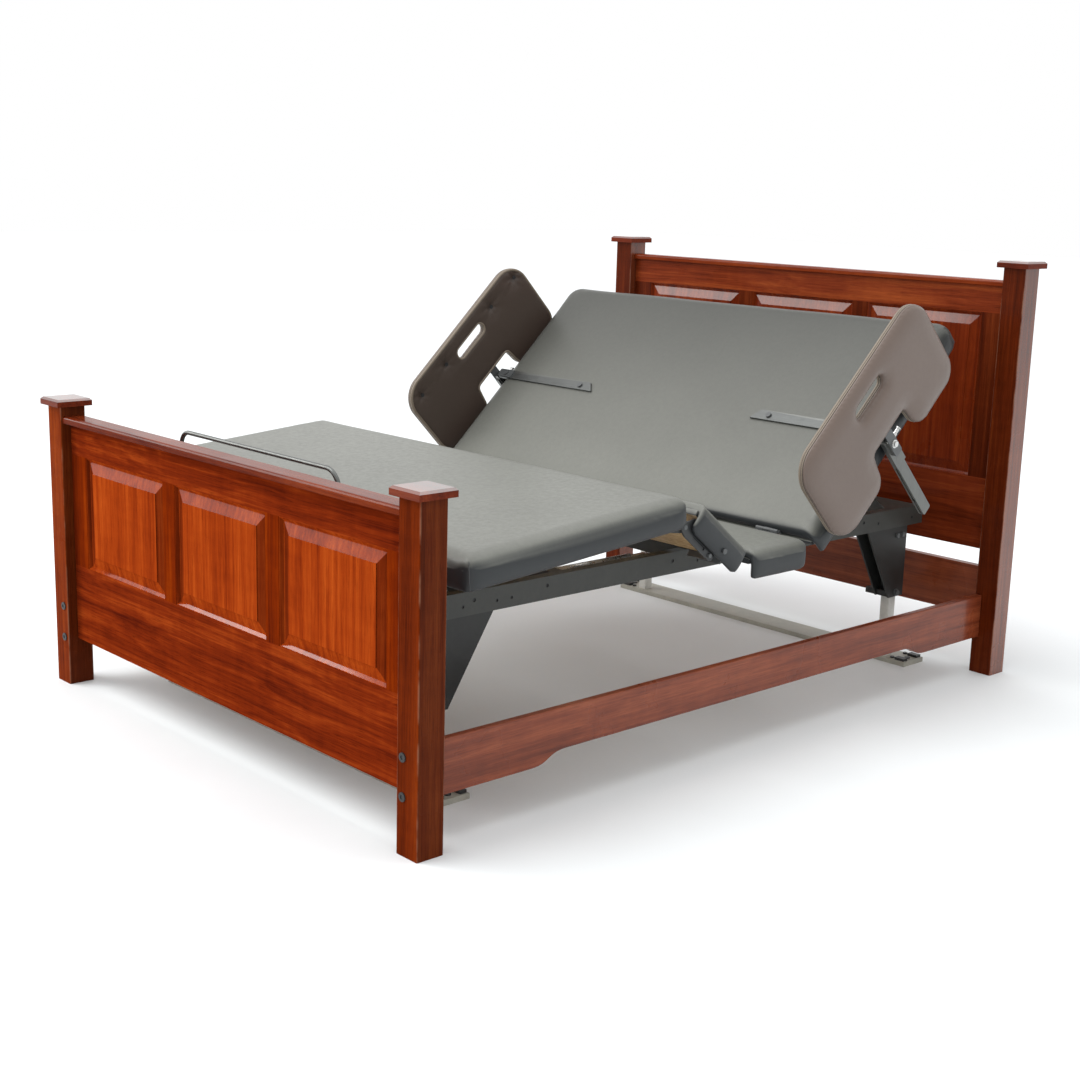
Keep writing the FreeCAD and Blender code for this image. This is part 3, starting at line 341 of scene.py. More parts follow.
# darker copy of the panel wood for the side bevels: painted shade beside the stiles
add_wood("panel_shaded_side", "Z", (0.070, 0.008, 0.002), (0.150, 0.018, 0.003), (0.26, 0.042, 0.006),
         figure=0.35, streak=0.8, rough=0.32, coat=0.0, spec=0.0)
add_wood("panel_head", "Z", (0.075, 0.008, 0.002), (0.150, 0.020, 0.004), (0.25, 0.045, 0.008),
         figure=0.35, streak=0.9, offset=(0.4, 0.0, 0.7), rough=0.28, coat=0.05, spec=0.05, gloss_up=1.0)
add_wood("rail_x", "X", RED_D, RED_M, RED_L, figure=1.2, streak=0.9, slant=0.14, spec=0.0, coat=0.0)
add_wood("stile", "Z", RED_D, (0.168, 0.018, 0.0016), (0.30, 0.045, 0.003), figure=0.3,
         offset=(0.7, 0.2, 0.1), spec=0.0, coat=0.0)
# lit and shaded copies of one mahogany: the headboard rails are painted lighter as painted light, its stiles
# darker as painted shade
add_wood("head_rail_lit", "X", (0.070, 0.010, 0.003), (0.165, 0.026, 0.007), (0.28, 0.058, 0.014),
         figure=1.1, streak=0.9, slant=0.12, spec=0.02, coat=0.03, offset=(0.9, 0, 0.3))
add_wood("head_stile_shaded", "Z", (0.034, 0.005, 0.002), (0.080, 0.012, 0.003), (0.150, 0.028, 0.007),
         figure=0.3, offset=(0.2, 0.5, 0.8), spec=0.02, coat=0.03)
add_wood("post", "Z", (0.058, 0.007, 0.0015), (0.152, 0.020, 0.0022), (0.27, 0.046, 0.005),
         figure=0.3, offset=(1.3, 0.4, 0.9), rough=0.26, coat=0.0, spec=0.005, edges=POST_EDGES)
# darker copy of the post wood for the side faces: painted shade
add_wood("post_shaded_side", "Z", (0.028, 0.005, 0.0015), (0.080, 0.013, 0.003), (0.150, 0.032, 0.007),
         figure=0.3, offset=(1.3, 0.4, 0.9), rough=0.26, coat=0.02, spec=0.03, edges=POST_EDGES)
add_wood("post_head", "Z", (0.056, 0.011, 0.004), (0.145, 0.032, 0.012), (0.26, 0.072, 0.026),
         figure=0.3, offset=(0.3, 1.4, 0.2), rough=0.24, coat=0.60, spec=0.35, edges=POST_EDGES)
# darker copy of the head post wood for the front faces: painted shade
add_wood("head_post_shaded_front", "Z", (0.030, 0.005, 0.0015), (0.085, 0.012, 0.0025), (0.155, 0.030, 0.006),
         figure=0.3, offset=(0.3, 1.4, 0.2), rough=0.26, coat=0.02, spec=0.03, edges=POST_EDGES)
add_wood("cap", "X", (0.055, 0.008, 0.003), (0.13, 0.019, 0.006), (0.23, 0.042, 0.012), figure=0.4,
         rough=0.14, coat=0.0, spec=0.08, gloss_up=1.0, coat_ior=2.5)
add_wood("moulding", "X", RED_D, (0.15, 0.022, 0.005), (0.27, 0.050, 0.010), figure=0.5,
         rough=0.22, coat=0.0, spec=0.02, gloss_up=0.35)
add_wood("side_rail", "Y", (0.070, 0.012, 0.005), (0.185, 0.038, 0.014), (0.31, 0.080, 0.030),
         figure=1.1, streak=0.6, offset=(0.1, 0.6, 0.3), rough=0.28, coat=0.28, slant=0.10, spec=0.2)
add_wood("lower", "X", (0.090, 0.020, 0.010), (0.22, 0.050, 0.020), (0.36, 0.095, 0.036),
         figure=0.5, rough=0.32, spec=0.15)
MATERIALS["charcoal"] = coated_metal("charcoal_coat", (0.043, 0.045, 0.041), 0.42)
MATERIALS["gusset"] = coated_metal("gusset_coat", (0.021, 0.022, 0.021), 0.42)
MATERIALS["black_steel"] = coated_metal("black_steel", (0.022, 0.023, 0.024), 0.36)
MATERIALS["grey_coat"] = coated_metal("grey_coat", (0.085, 0.090, 0.092), 0.38)
MATERIALS["arm"] = brushed("grey_arm_steel", (0.165, 0.168, 0.160), "Z", 0.38)
MATERIALS["bar"] = brushed("grey_bar_steel", (0.122, 0.127, 0.124), "X", 0.38)
MATERIALS["rod"] = brushed("rod_steel", (0.14, 0.145, 0.14), "X", 0.30)
MATERIALS["zinc"] = brushed("zinc_bright", (0.62, 0.62, 0.61), "Y", 0.20)
MATERIALS["alu"] = brushed("aluminium_tube", (0.70, 0.69, 0.66), "Y", 0.28)
MATERIALS["white"] = coated_metal("column_white", (0.62, 0.62, 0.58), 0.34)
MATERIALS["beige"] = coated_metal("base_beige", (0.36, 0.35, 0.30), 0.46)
MATERIALS["black"] = coated_metal("black_plastic", (0.020, 0.020, 0.021), 0.46)
MATERIALS["ply"] = plywood_mat("plywood")
# the dark side grey is painted shade on the deck's sides; the lighter top colour is painted light on faces
# that look up
SHADED_SIDE_GREY = (0.027, 0.030, 0.032)
MATERIALS["deck"] = vinyl("grey_vinyl", SHADED_SIDE_GREY, 0.34, 0.5, lit_top_colour=(0.168, 0.172, 0.153), spec=0.30)
# the back pad's vinyl darkens towards its top as painted shade
MATERIALS["deck_back"] = vinyl("grey_vinyl_back", SHADED_SIDE_GREY, 0.36, 0.5, lit_top_colour=(0.170, 0.173, 0.154),
                               spec=0.28, shade_with_height=(0.60, 1.08, 0.37))
MATERIALS["taupe"] = vinyl("taupe_vinyl", (0.138, 0.101, 0.083), 0.35, 0.5)
MATERIALS["brown"] = vinyl("brown_vinyl", (0.062, 0.043, 0.033), 0.38, 0.6)
MATERIALS["piping"] = vinyl("beige_piping", (0.20, 0.160, 0.120), 0.40, 0.4)
# dark brown for the thin tubes in the creases between rolls: painted shade
MATERIALS["crease_shade"] = vinyl("crease_shade_vinyl", (0.045, 0.033, 0.026), 0.6, 0.4)
MATERIALS["seam"] = vinyl("seam_thread", (0.055, 0.058, 0.060), 0.55, 0.4)


def give(node, mat):
    """Gives a node of the frame one material."""
    materials = nodes[node].data.materials
    materials.clear()
    materials.append(MATERIALS[mat])


def give_faces(node, mat, test):
    """Adds a second material for the faces that pass test(face, corner points)."""
    mesh = nodes[node].data
    mesh.materials.append(MATERIALS[mat])
    for face in mesh.polygons:
        points = [mesh.vertices[i].co for i in face.vertices]
        face.material_index = 1 if test(face, points) else 0


def middle_of(points):
    """Mean of a face's corner points."""
    return sum(points, Vector()) / len(points)


FINISHES = {
    "post": ("foot_posts",),
    "post_head": ("head_posts",),
    "cap": ("post_caps",),
    "panel": ("footboard_panels",),
    "panel_head": ("headboard_panels",),
    "moulding": ("footboard_moulding", "headboard_moulding"),
    "lower": ("headboard_lower_board",),
    "side_rail": ("side_rails",),
    "rail_x": ("footboard_frame",),
    "head_rail_lit": ("headboard_frame",),
    "black": ("rail_bolt_caps", "base_fittings", "actuator_motors"),
    "beige": ("floor_base_bars",),
    "white": ("lift_columns",),
    "charcoal": ("side_channels", "cross_members"),
    "gusset": ("lift_sleeves", "column_gussets"),
    "grey_coat": ("link_shaft", "foot_links", "back_lever", "gusset_bolts", "rail_arm_brackets", "thigh_pins",
                  "rail_right_core_plate", "rail_left_core_plate", "seat_hinges", "thigh_hinge_leaves",
                  "back_hinge_leaves"),
    "black_steel": ("thigh_brackets", "foot_brackets"),
    "ply": ("seat_board", "thigh_board", "foot_board", "back_board"),
    "zinc": ("rail_right_fittings", "rail_left_fittings", "rail_right_plunger", "rail_left_plunger",
             "back_actuator_rod", "knee_actuator_rod"),
    "arm": ("rail_right_carriage", "rail_left_carriage", "rail_arms"),
    "rod": ("mattress_retainer",),
    "alu": ("actuator_tubes",),
}
for mat, names in FINISHES.items():
    for name in names:
        give(name, mat)

# the headboard stiles take the darker copy as painted shade
FRAME_RAILS = {"footboard_frame": ("stile", 0.355, 0.675), "headboard_frame": ("head_stile_shaded", 0.605, 1.110)}
for name, (mat, low, high) in FRAME_RAILS.items():
    give_faces(name, mat, lambda face, points: low + 0.001 < middle_of(points).z < high - 0.001)
# side bevels of the footboard panels take the darker copy as painted shade
give_faces("footboard_panels", "panel_shaded_side", lambda face, points: abs(face.normal.x) > 0.05)
# the posts' side faces take the darker copy as painted shade
give_faces("foot_posts", "post_shaded_side", lambda face, points: abs(face.normal.x) > 0.8)
# the head posts' front faces take the darker copy as painted shade
give_faces("head_posts", "head_post_shaded_front", lambda face, points: abs(face.normal.y) > 0.8)

ARM_INSIDE = 0.8035
give_faces("rail_arms", "bar", lambda face, points: max(abs(p.x) for p in points) < ARM_INSIDE)

TUFT_SCREW_LOW = 0.65
flat_back = BACK_PLACE.inverted()
for name in ("rail_right_fittings", "rail_left_fittings"):
    give_faces(name, "black", lambda face, points: (flat_back @ middle_of(points)).z > TUFT_SCREW_LOW)

WEB_INSIDE = 0.5546
HOLE_BOTTOM = 0.5566
HOLE_SIZE = 0.0115


def is_hole_face(face, points):
    """True for the walls and bottoms of the small holes in a channel's web."""
    zs = [p.z for p in points]
    xs = [abs(p.x) for p in points]
    return max(zs) - min(zs) < HOLE_SIZE and WEB_INSIDE < min(xs) and sum(xs) / len(xs) < HOLE_BOTTOM


# the walls and bottoms of the web holes are painted black as painted shade, standing in for the dark seen
# through the holes
give_faces("side_channels", "black", is_hole_face)
SECTION_PLACES = {"seat": SEAT_PLACE, "thigh": THIGH_PLACE, "foot": FOOT_PLACE, "back": BACK_PLACE}
for name, place in SECTION_PLACES.items():
    turn = place.inverted().to_3x3()
    give_faces(name + "_board", "deck", lambda face, points: (turn @ face.normal).z >= -0.5)


# ------------------------------------------------------------------ padded deck sections
def link_object(name, mesh):
    """New object in the scene."""
    o = bpy.data.objects.new(name, mesh)
    bpy.context.scene.collection.objects.link(o)
    return o


def add_block(bm, lo, hi, rounds):
    """Box with chosen rounded edges. rounds: list of (test on edge middle, radius)."""
    part = bmesh.new()
    bmesh.ops.create_cube(part, size=1.0)
    mid = [(a + b) / 2 for a, b in zip(lo, hi)]
    size = [b - a for a, b in zip(lo, hi)]
    for v in part.verts:
        v.co = Vector((mid[0] + v.co.x * size[0], mid[1] + v.co.y * size[1], mid[2] + v.co.z * size[2]))
    for test, radius in rounds:
        edges = [e for e in part.edges if test((e.verts[0].co + e.verts[1].co) / 2)]
        if edges:
            bmesh.ops.bevel(part, geom=edges, offset=radius, segments=6, profile=0.5, affect="EDGES")
    me = bpy.data.meshes.new("tmp")
    part.to_mesh(me)
    part.free()
    bm.from_mesh(me)
    bpy.data.meshes.remove(me)


def apply_modifiers(o):
    """Swaps the mesh of an object for the one its modifiers make."""
    dg = bpy.context.evaluated_depsgraph_get()
    dg.update()
    me = bpy.data.meshes.new_from_object(o.evaluated_get(dg))
    old = o.data
    o.modifiers.clear()
    o.data = me
    bpy.data.meshes.remove(old)


def smoothed(o, rounds):
    """Evens out the surface of a piece."""
    m = o.modifiers.new("smooth", "SMOOTH")
    m.iterations = rounds
    m.factor = 0.5
    apply_modifiers(o)


def remeshed(o, voxel, smooth):
    """Voxel remesh with a few rounds of smoothing."""
    m = o.modifiers.new("remesh", "REMESH")
    m.mode = "VOXEL"
    m.voxel_size = voxel
    m.use_smooth_shade = True
    apply_modifiers(o)
    smoothed(o, smooth)


def puffed(o, held, cap, pressure, frames, relax=0):
    """Fills the piece with a little air as cloth, holding the marked points and capping the movement."""
    start = np.array([v.co for v in o.data.vertices], float)
    group = o.vertex_groups.new(name="held")
    for i in np.nonzero(held)[0]:
        group.add([int(i)], 1.0, "REPLACE")
    m = o.modifiers.new("cloth", "CLOTH")
    s = m.settings
    s.quality = 4
    s.mass = 0.4
    s.tension_stiffness = 30
    s.compression_stiffness = 30
    s.shear_stiffness = 10
    s.bending_stiffness = 1.0
    s.use_pressure = True
    s.uniform_pressure_force = pressure
    s.effector_weights.gravity = 0.0
    s.vertex_group_mass = "held"
    m.collision_settings.use_collision = False
    m.collision_settings.use_self_collision = False
    m.point_cache.frame_start = 1
    m.point_cache.frame_end = frames
    scene = bpy.context.scene
    for f in range(1, frames + 1):
        scene.frame_set(f)
    dg = bpy.context.evaluated_depsgraph_get()
    e = o.evaluated_get(dg)
    end = np.array([v.co for v in e.data.vertices], float)
    o.modifiers.clear()
    o.vertex_groups.clear()
    scene.frame_set(1)
    move = end - start
    far = np.linalg.norm(move, axis=1)
    far[far < 1e-9] = 1e-9
    limit = cap * np.tanh(far / cap) / far
    final = start + move * limit[:, None]
    o.data.vertices.foreach_set("co", final.ravel())
    o.data.update()
    if relax:
        smoothed(o, relax)


def smooth_shade(o):
    """Shades every face smooth."""
    o.data.polygons.foreach_set("use_smooth", [True] * len(o.data.polygons))


SLAB_UNDER = 0.5085
SKIRT_LAP = 0.006
SKIRT_INSIDE = 0.7755
SKIRT_TURN = 0.014
END_GAP = 0.0015
ROLL_SOFT = 0.027
ROLL_SMALL = 0.010
HELD_RIM = 0.006
LONG_SECTION = 0.5
PUFF_LONG = 0.0036
PUFF_SHORT = 0.0022


def upright_edge(half, end_y):
    """Test for the two upright edges at one end of a slab."""
    return lambda c: abs(abs(c.x) - half) < 1e-4 and abs(c.y - end_y) < 1e-4


def low_edge(end_y):
    """Test for the low edge at one end of a side skirt."""
    return lambda c: abs(c.y - end_y) < 1e-4 and abs(c.z - SKIRT_LOW) < 1e-4


def section_blocks(half, y0, y1, corner_r, skirts):
    """Blocks of one section: slab, rounded corners, side skirts and spans of end skirt."""
    bm = bmesh.new()
    lap = SLAB_UNDER + SKIRT_LAP
    ends = [(end_y, r, way) for end_y, r, way in zip((y0, y1), corner_r, (1, -1))]
    rounds = [(upright_edge(half, end_y), r) for end_y, r, way in ends if r]
    add_block(bm, (-half, y0, SLAB_UNDER), (half, y1, TOP - COVER), rounds)
    for end_y, r, way in ends:
        for side in (-1, 1) if r else ():
            xs = sorted((side * (half - r), side * half))
            ys = sorted((end_y, end_y + way * r))
            corner = [(upright_edge(half, end_y), r - 0.0008)]
            add_block(bm, (xs[0], ys[0], SKIRT_LOW), (xs[1], ys[1], lap), corner)
    turns = [(low_edge(end_y), SKIRT_TURN) for end_y, r, way in ends if not r]
    skirt_y = [end_y + way * (r - 0.001 if r else 0) for end_y, r, way in ends]
    for side in (-1, 1):
        xs = sorted((side * SKIRT_INSIDE, side * half))
        add_block(bm, (xs[0], skirt_y[0], SKIRT_LOW), (xs[1], skirt_y[1], lap), turns)
    for span_y0, span_y1, spans in skirts:
        for x0, x1 in spans:
            add_block(bm, (x0, span_y0 - SHIFT, SKIRT_LOW), (x1, span_y1 - SHIFT, lap), [])
    return bm


def held_points(co, half, y0, y1):
    """Points of the cover that are fixed: its underside inside the rim, and the skirts' low edge."""
    inside = (np.abs(co[:, 0]) < half - HELD_RIM) & (co[:, 1] > y0 + HELD_RIM) & (co[:, 1] < y1 - HELD_RIM)
    return (inside & (co[:, 2] < SLAB_UNDER + 0.004)) | (co[:, 2] < SKIRT_LOW + HELD_RIM)


def deck_wrap(name, body, y0, y1, matrix, skirts, soft_ends, corner_r, replaced, voxel=0.007):
    """Upholstery of one section: soft slab with padded sides that hang round the board."""
    y0 -= SHIFT
    y1 -= SHIFT
    half = DECK_HALF - COVER
    bm = section_blocks(half, y0 + END_GAP, y1 - END_GAP, corner_r, skirts)
    me = bpy.data.meshes.new(name)
    bm.to_mesh(me)
    bm.free()
    o = link_object(name, me)
    remeshed(o, voxel, 3)
    co = np.array([v.co for v in o.data.vertices], float)
    co = roll_edges(co, half, y0 + END_GAP, y1 - END_GAP, soft_ends, corner_r)
    o.data.vertices.foreach_set("co", co.ravel())
    cap = PUFF_LONG if y1 - y0 > LONG_SECTION else PUFF_SHORT
    puffed(o, held_points(co, half, y0, y1), cap, 4.0, 11, relax=4)
    finish_piece(o, "deck_back" if body == "back" else "deck", body, matrix)
    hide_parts(*replaced)


def outline_distance(x, y, half, y0, y1, rf, rh):
    """Distance inside the plan outline, with rounded foot and head corners."""
    d = np.minimum(half - np.abs(x), np.minimum(y - y0, y1 - y))
    for r, yc, sign in ((rf, y0, 1), (rh, y1, -1)):
        if r:
            cx = np.abs(x) - (half - r)
            cy = (yc + sign * r - y) * sign
            inside = (cx > 0) & (cy > 0)
            d = np.where(inside, r - np.hypot(cx, cy), d)
    return d


def roll_drop(distance, r):
    """How far a rolled edge of radius r sinks at a distance inside the outline."""
    k = np.clip(1 - distance / r, 0, 1)
    return r - r * np.sqrt(np.clip(1 - k * k, 0, 1))


def roll_edges(co, half, y0, y1, soft_ends, corner_r):
    """Points of one section with rolled top edges, gathers at its corners and soft side walls."""
    x, y, z = co[:, 0].copy(), co[:, 1].copy(), co[:, 2].copy()
    top = TOP - COVER
    foot_r, head_r = corner_r
    d_side = half - np.abs(x)
    d_foot = y - y0
    d_head = y1 - y
    drop = np.maximum(np.zeros(len(z)), roll_drop(d_side, ROLL_SOFT))
    for distance, soft in ((d_foot, soft_ends[0]), (d_head, soft_ends[1])):
        drop = np.maximum(drop, roll_drop(distance, ROLL_SOFT if soft else ROLL_SMALL))
    if foot_r or head_r:
        d_corner = outline_distance(x, y, half, y0, y1, foot_r, head_r)
        near = ((y < y0 + foot_r) & bool(foot_r)) | ((y > y1 - head_r) & bool(head_r))
        drop = np.where(near, np.maximum(drop, roll_drop(d_corner, ROLL_SOFT)), drop)
    weight = np.clip((z - (top - 0.030)) / 0.030, 0, 1)
    z = z - drop * weight
    # small gathers where the cover is pulled round a corner
    for d_end, way in ((d_foot, 1.0), (d_head, -1.0)):
        near_corner = np.clip(1 - np.hypot(d_side, d_end) / 0.075, 0, 1)
        fold = np.sin(np.arctan2(d_side + 0.004, d_end + 0.004) * 9.0 + way)
        z = z - 0.0016 * near_corner ** 1.5 * (0.5 + 0.5 * fold) * weight
    # padded side walls: soft belly between top and bottom
    wall = (d_side < 0.010) & (z < top - 0.02)
    belly = np.sin(np.clip((z - SKIRT_LOW) / 0.075, 0, 1) * math.pi)
    x = np.where(wall, x - np.sign(x) * 0.0035 * (1 - belly), x)
    out = co.copy()
    out[:, 0], out[:, 2] = x, z
    return out


def finish_piece(o, mat, body, matrix):
    """Moves a piece from flat coordinates to its place, and gives it a material and a body."""
    o.data.transform(matrix)
    o.data.materials.clear()
    o.data.materials.append(MATERIALS[mat])
    smooth_shade(o)
    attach(o, body)


deck_wrap("foot_pad", "foot", 0.180, 0.897, FOOT_PLACE, [(0.1815, 0.198, [(-0.7745, 0.7745)])],
          (True, False), (0.030, 0), ["foot_cushion", "foot_skirts"], 0.0075)
deck_wrap("thigh_pad", "thigh", 0.915, 1.142, THIGH_PLACE, [],
          (False, False), (0, 0), ["thigh_cushion", "thigh_skirts"], 0.0065)
deck_wrap("seat_pad", "lift_frame", 1.157, 1.383, SEAT_PLACE, [],
          (False, False), (0, 0), ["seat_cushion", "seat_skirts"], 0.0065)
BACK_SKIRT_SPANS = [(-0.76, -0.575), (0.575, 0.76), (-0.200, 0.200)]
deck_wrap("back_pad", "back", 1.397, 2.211, BACK_PLACE, [(2.193, 2.2095, BACK_SKIRT_SPANS)],
          (False, True), (0, 0.055), ["back_cushion", "back_skirts"], 0.0075)


# ------------------------------------------------------------------ assist rail pads
S0 = 1.399 - SHIFT


def sn_point(x, s, n):
    """Point at s along the flat back section and n above its top."""
    return Vector((x, S0 + s, TOP + n))


def rounded_outline(points, step=0.006):
    """Closed list of (s, n) along an outline of (s, n, radius) corners."""
    out = []
    count = len(points)
    for i in range(count):
        p = Vector(points[i][:2])
        r = points[i][2]
        a = (Vector(points[i - 1][:2]) - p).normalized()
        b = (Vector(points[(i + 1) % count][:2]) - p).normalized()
        half = a.angle(b) / 2
        reach = r / math.tan(half)
        centre = p + (a + b).normalized() * (r / math.sin(half))
        v0 = p + a * reach - centre
        v1 = p + b * reach - centre
        turn = v0.angle_signed(v1)
        k = max(3, int(abs(turn) * r / step))
        for j in range(k + 1):
            ang = -turn * j / k
            c, s = math.cos(ang), math.sin(ang)
            out.append((centre.x + v0.x * c - v0.y * s, centre.y + v0.x * s + v0.y * c))
    full = []
    for i in range(len(out)):
        a, b = Vector(out[i]), Vector(out[(i + 1) % len(out)])
        n = max(1, int((b - a).length / step))
        for j in range(n):
            full.append(tuple(a.lerp(b, j / n)))
    return full


MM = 0.001
# corners of a rail's face in mm: s, n, radius, and the way each of the three changes with the inset
RAIL_CORNERS = ((685, -72, 62, -1, 1, -1), (685, 246, 88, -1, -1, -1), (29, 246, 82, 1, -1, -1),
                (28, -75, 88, 1, 1, -1), (258, -75, 52, -1, 1, -1), (278, 28, 16, -1, 1, 1),
                (450, 28, 16, 1, 1, 1), (464, -72, 56, 1, 1, -1))


def rail_outline(inset):
    """Outline of a rail's face, moved inwards by inset mm."""
    corners = []
    for s, n, r, way_s, way_n, way_r in RAIL_CORNERS:
        corners.append(((s + way_s * inset) * MM, (n + way_n * inset) * MM, (r + way_r * inset) * MM))
    return rounded_outline(corners)


def slot_outline(grow):
    """Outline of the handle slot, made larger all round by grow mm."""
    s0, s1, n0, n1 = 288 - grow, 434 + grow, 153 - grow, 192 + grow
    corners = ((s0, n0), (s1, n0), (s1, n1), (s0, n1))
    return rounded_outline([(s * MM, n * MM, (18 + grow) * MM) for s, n in corners])


def tube_along(name, points, radius, mat, body, matrix, closed=True, sides=8):
    """Thin tube along a closed or open line of points."""
    bm = bmesh.new()
    rings = []
    n = len(points)
    for i in range(n):
        prev = points[i - 1] if (i or closed) else points[0]
        nxt = points[(i + 1) % n] if (i < n - 1 or closed) else points[-1]
        t = (nxt - prev).normalized()
        up = Vector((1, 0, 0)) if abs(t.x) < 0.9 else Vector((0, 0, 1))
        a = t.cross(up).normalized()
        b = t.cross(a).normalized()
        ring = []
        for k in range(sides):
            ang = 2 * math.pi * k / sides
            ring.append(bm.verts.new(points[i] + a * math.cos(ang) * radius + b * math.sin(ang) * radius))
        rings.append(ring)
    last = n if closed else n - 1
    for i in range(last):
        r0, r1 = rings[i], rings[(i + 1) % n]
        for k in range(sides):
            bm.faces.new((r0[k], r0[(k + 1) % sides], r1[(k + 1) % sides], r1[k]))
    if not closed:
        bm.faces.new(rings[0][::-1])
        bm.faces.new(rings[-1])
    bmesh.ops.recalc_face_normals(bm, faces=bm.faces)
    me = bpy.data.meshes.new(name)
    bm.to_mesh(me)
    bm.free()
    o = link_object(name, me)
    finish_piece(o, mat, body, matrix)
    return o


TUFTS = [(0.643, 0.195), (0.502, 0.195), (0.231, 0.195), (0.090, 0.195)]
TUFT_REACH = 0.085
TUFT_HELD = 0.010
PAD_CROWN = 0.0085
PUFF_PAD = 0.0010


def outline_tree(line):
    """Search tree of an outline's points."""
    tree = kdtree.KDTree(len(line))
    for i, (s, n) in enumerate(line):
        tree.insert((s, n, 0), i)
    tree.balance()
    return tree


def tuft_dip(s, n):
    """Share of a pad's thickness by which its tufts pull the face in at (s, n)."""
    dip = 0.0
    for ts, tn in TUFTS:
        q = math.hypot(s - ts, n - tn)
        if q < TUFT_REACH:
            angle = math.atan2(n - tn, s - ts)
            fold = 1 + 0.45 * math.sin(angle * 7 + ts * 90) * min(1, q / 0.02)
            dip += 0.58 * math.exp(-(q / 0.015) ** 2) + 0.24 * fold * math.exp(-(q / 0.038) ** 2)
    return dip


def rounding(gap, soft):
    """Rise from 0 at an edge to 1 at soft away from it, along a quarter circle."""
    k = max(0.0, 1 - gap / soft)
    return math.sqrt(max(0.0, 1 - k * k))


def rail_pad(name, cad, core, face, mat, body, tufts):
    """One padded face of an assist rail, crowned from its outline and pulled in at the tufts."""
    o = link_object(name, nodes[cad].data.copy())
    o.data.transform(BACK_PLACE.inverted())
    remeshed(o, 0.0045, 2)
    co = np.array([v.co for v in o.data.vertices], float)
    rim, slot = outline_tree(rail_outline(0)), outline_tree(slot_outline(0))
    thick = abs(face - core)
    away, crown, soft, edge = (1, PAD_CROWN, 0.060, 0.42) if face > core else (-1, 0.0, 0.020, 0.5)
    edge *= thick
    for i, (x, y, z) in enumerate(co.tolist()):
        s, n = y - S0, z - TOP
        rim_gap = rim.find((s, n, 0))[2]
        slot_gap = slot.find((s, n, 0))[2]
        rise = rounding(rim_gap, soft) * rounding(slot_gap, soft * 0.45)
        t = edge + (thick + crown - edge) * rise
        depth = abs(abs(x) - core) / thick
        if tufts:
            t -= thick * tuft_dip(s, n)
        wave = mnoise.noise(Vector((s * 9, n * 9, face * 40))) * 0.0007
        t = max(0.0015, t - 0.0006 + wave * min(1.0, rim_gap / 0.02))
        co[i, 0] = math.copysign(core + away * depth * t, x)
    o.data.vertices.foreach_set("co", co.ravel())
    o.data.update()
    held = np.abs(np.abs(co[:, 0]) - core) < 0.0015
    if tufts:
        for ts, tn in TUFTS:
            held |= np.hypot(co[:, 1] - S0 - ts, co[:, 2] - TOP - tn) < TUFT_HELD
    puffed(o, held, PUFF_PAD, 3.0, 7)
    finish_piece(o, mat, body, BACK_PLACE)
    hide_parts(cad)


# rolled edges: tag, distance from the bed's middle plane, inset in mm, radius, material
# the two thin crease tubes are dark lines of painted shade in the creases between the rolls
RAIL_ROLLS = (("inner", 0.8264, 3.6, 0.0050, "piping"), ("middle", 0.8333, 1.6, 0.0030, "piping"),
              ("outer", 0.8392, 4.6, 0.0050, "taupe"), ("crease_in", 0.8306, 0.7, 0.0013, "crease_shade"),
              ("crease_out", 0.8360, 0.7, 0.0013, "crease_shade"))
for label, side in (("right", 1), ("left", -1)):
    body = "assist_rail_" + label
    rail = "rail_" + label
    rail_pad(rail + "_inner_face", rail + "_inner_pad", 0.8315, 0.8215, "brown", body, True)
    rail_pad(rail + "_outer_face", rail + "_outer_pad", 0.8345, 0.8500, "taupe", body, False)
    for tag, x, inset, radius, mat in RAIL_ROLLS:
        pts = [sn_point(side * x, s, n) for s, n in rail_outline(inset)]
        tube_along(rail + "_edge_" + tag, pts, radius, mat, body, BACK_PLACE, sides=12)
        pts = [sn_point(side * x, s, n) for s, n in slot_outline(inset * 0.8)]
        tube_along(rail + "_slot_" + tag, pts, radius * 0.85, mat, body, BACK_PLACE, sides=12)


# ------------------------------------------------------------------ seams and edge bands on the deck
def seam_line(name, points, radius, mat, body, matrix):
    """Open line of thread along flat-section points."""
    return tube_along(name, [Vector(p) for p in points], radius, mat, body, matrix, closed=False, sides=6)


BAND_LOW = 0.4982
BAND_TOP = 0.5125
BAND_HALF = 0.774
BAND_THICK = 0.0016


def end_band(name, y, way, body, matrix):
    """Vinyl turned over the end of one board, with soft edges."""
    y -= SHIFT
    y0, y1 = sorted((y, y + way * BAND_THICK))
    bm = bmesh.new()
    add_block(bm, (-BAND_HALF, y0, BAND_LOW), (BAND_HALF, y1, BAND_TOP), [])
    me = bpy.data.meshes.new(name)
    bmesh.ops.bevel(bm, geom=bm.edges[:], offset=0.0006, segments=2, profile=0.5, affect="EDGES")
    bm.to_mesh(me)
    bm.free()
    finish_piece(link_object(name, me), "deck", body, matrix)


end_band("foot_end_band", 0.897, 1, "foot", FOOT_PLACE)
end_band("thigh_foot_band", 0.915, -1, "thigh", THIGH_PLACE)
end_band("thigh_head_band", 1.142, 1, "thigh", THIGH_PLACE)
end_band("seat_foot_band", 1.157, -1, "lift_frame", SEAT_PLACE)
end_band("seat_head_band", 1.383, 1, "lift_frame", SEAT_PLACE)
end_band("back_end_band", 1.397, -1, "back", BACK_PLACE)

# corner seams: height, and how far the seam leans in over the rolled edge
SEAM_DROP = ((0.457, 0.0002), (0.470, 0.0), (0.485, 0.0), (0.500, 0.0), (0.511, 0.0006), (0.519, 0.003),
             (0.526, 0.008))
SEAM_X = 0.7928
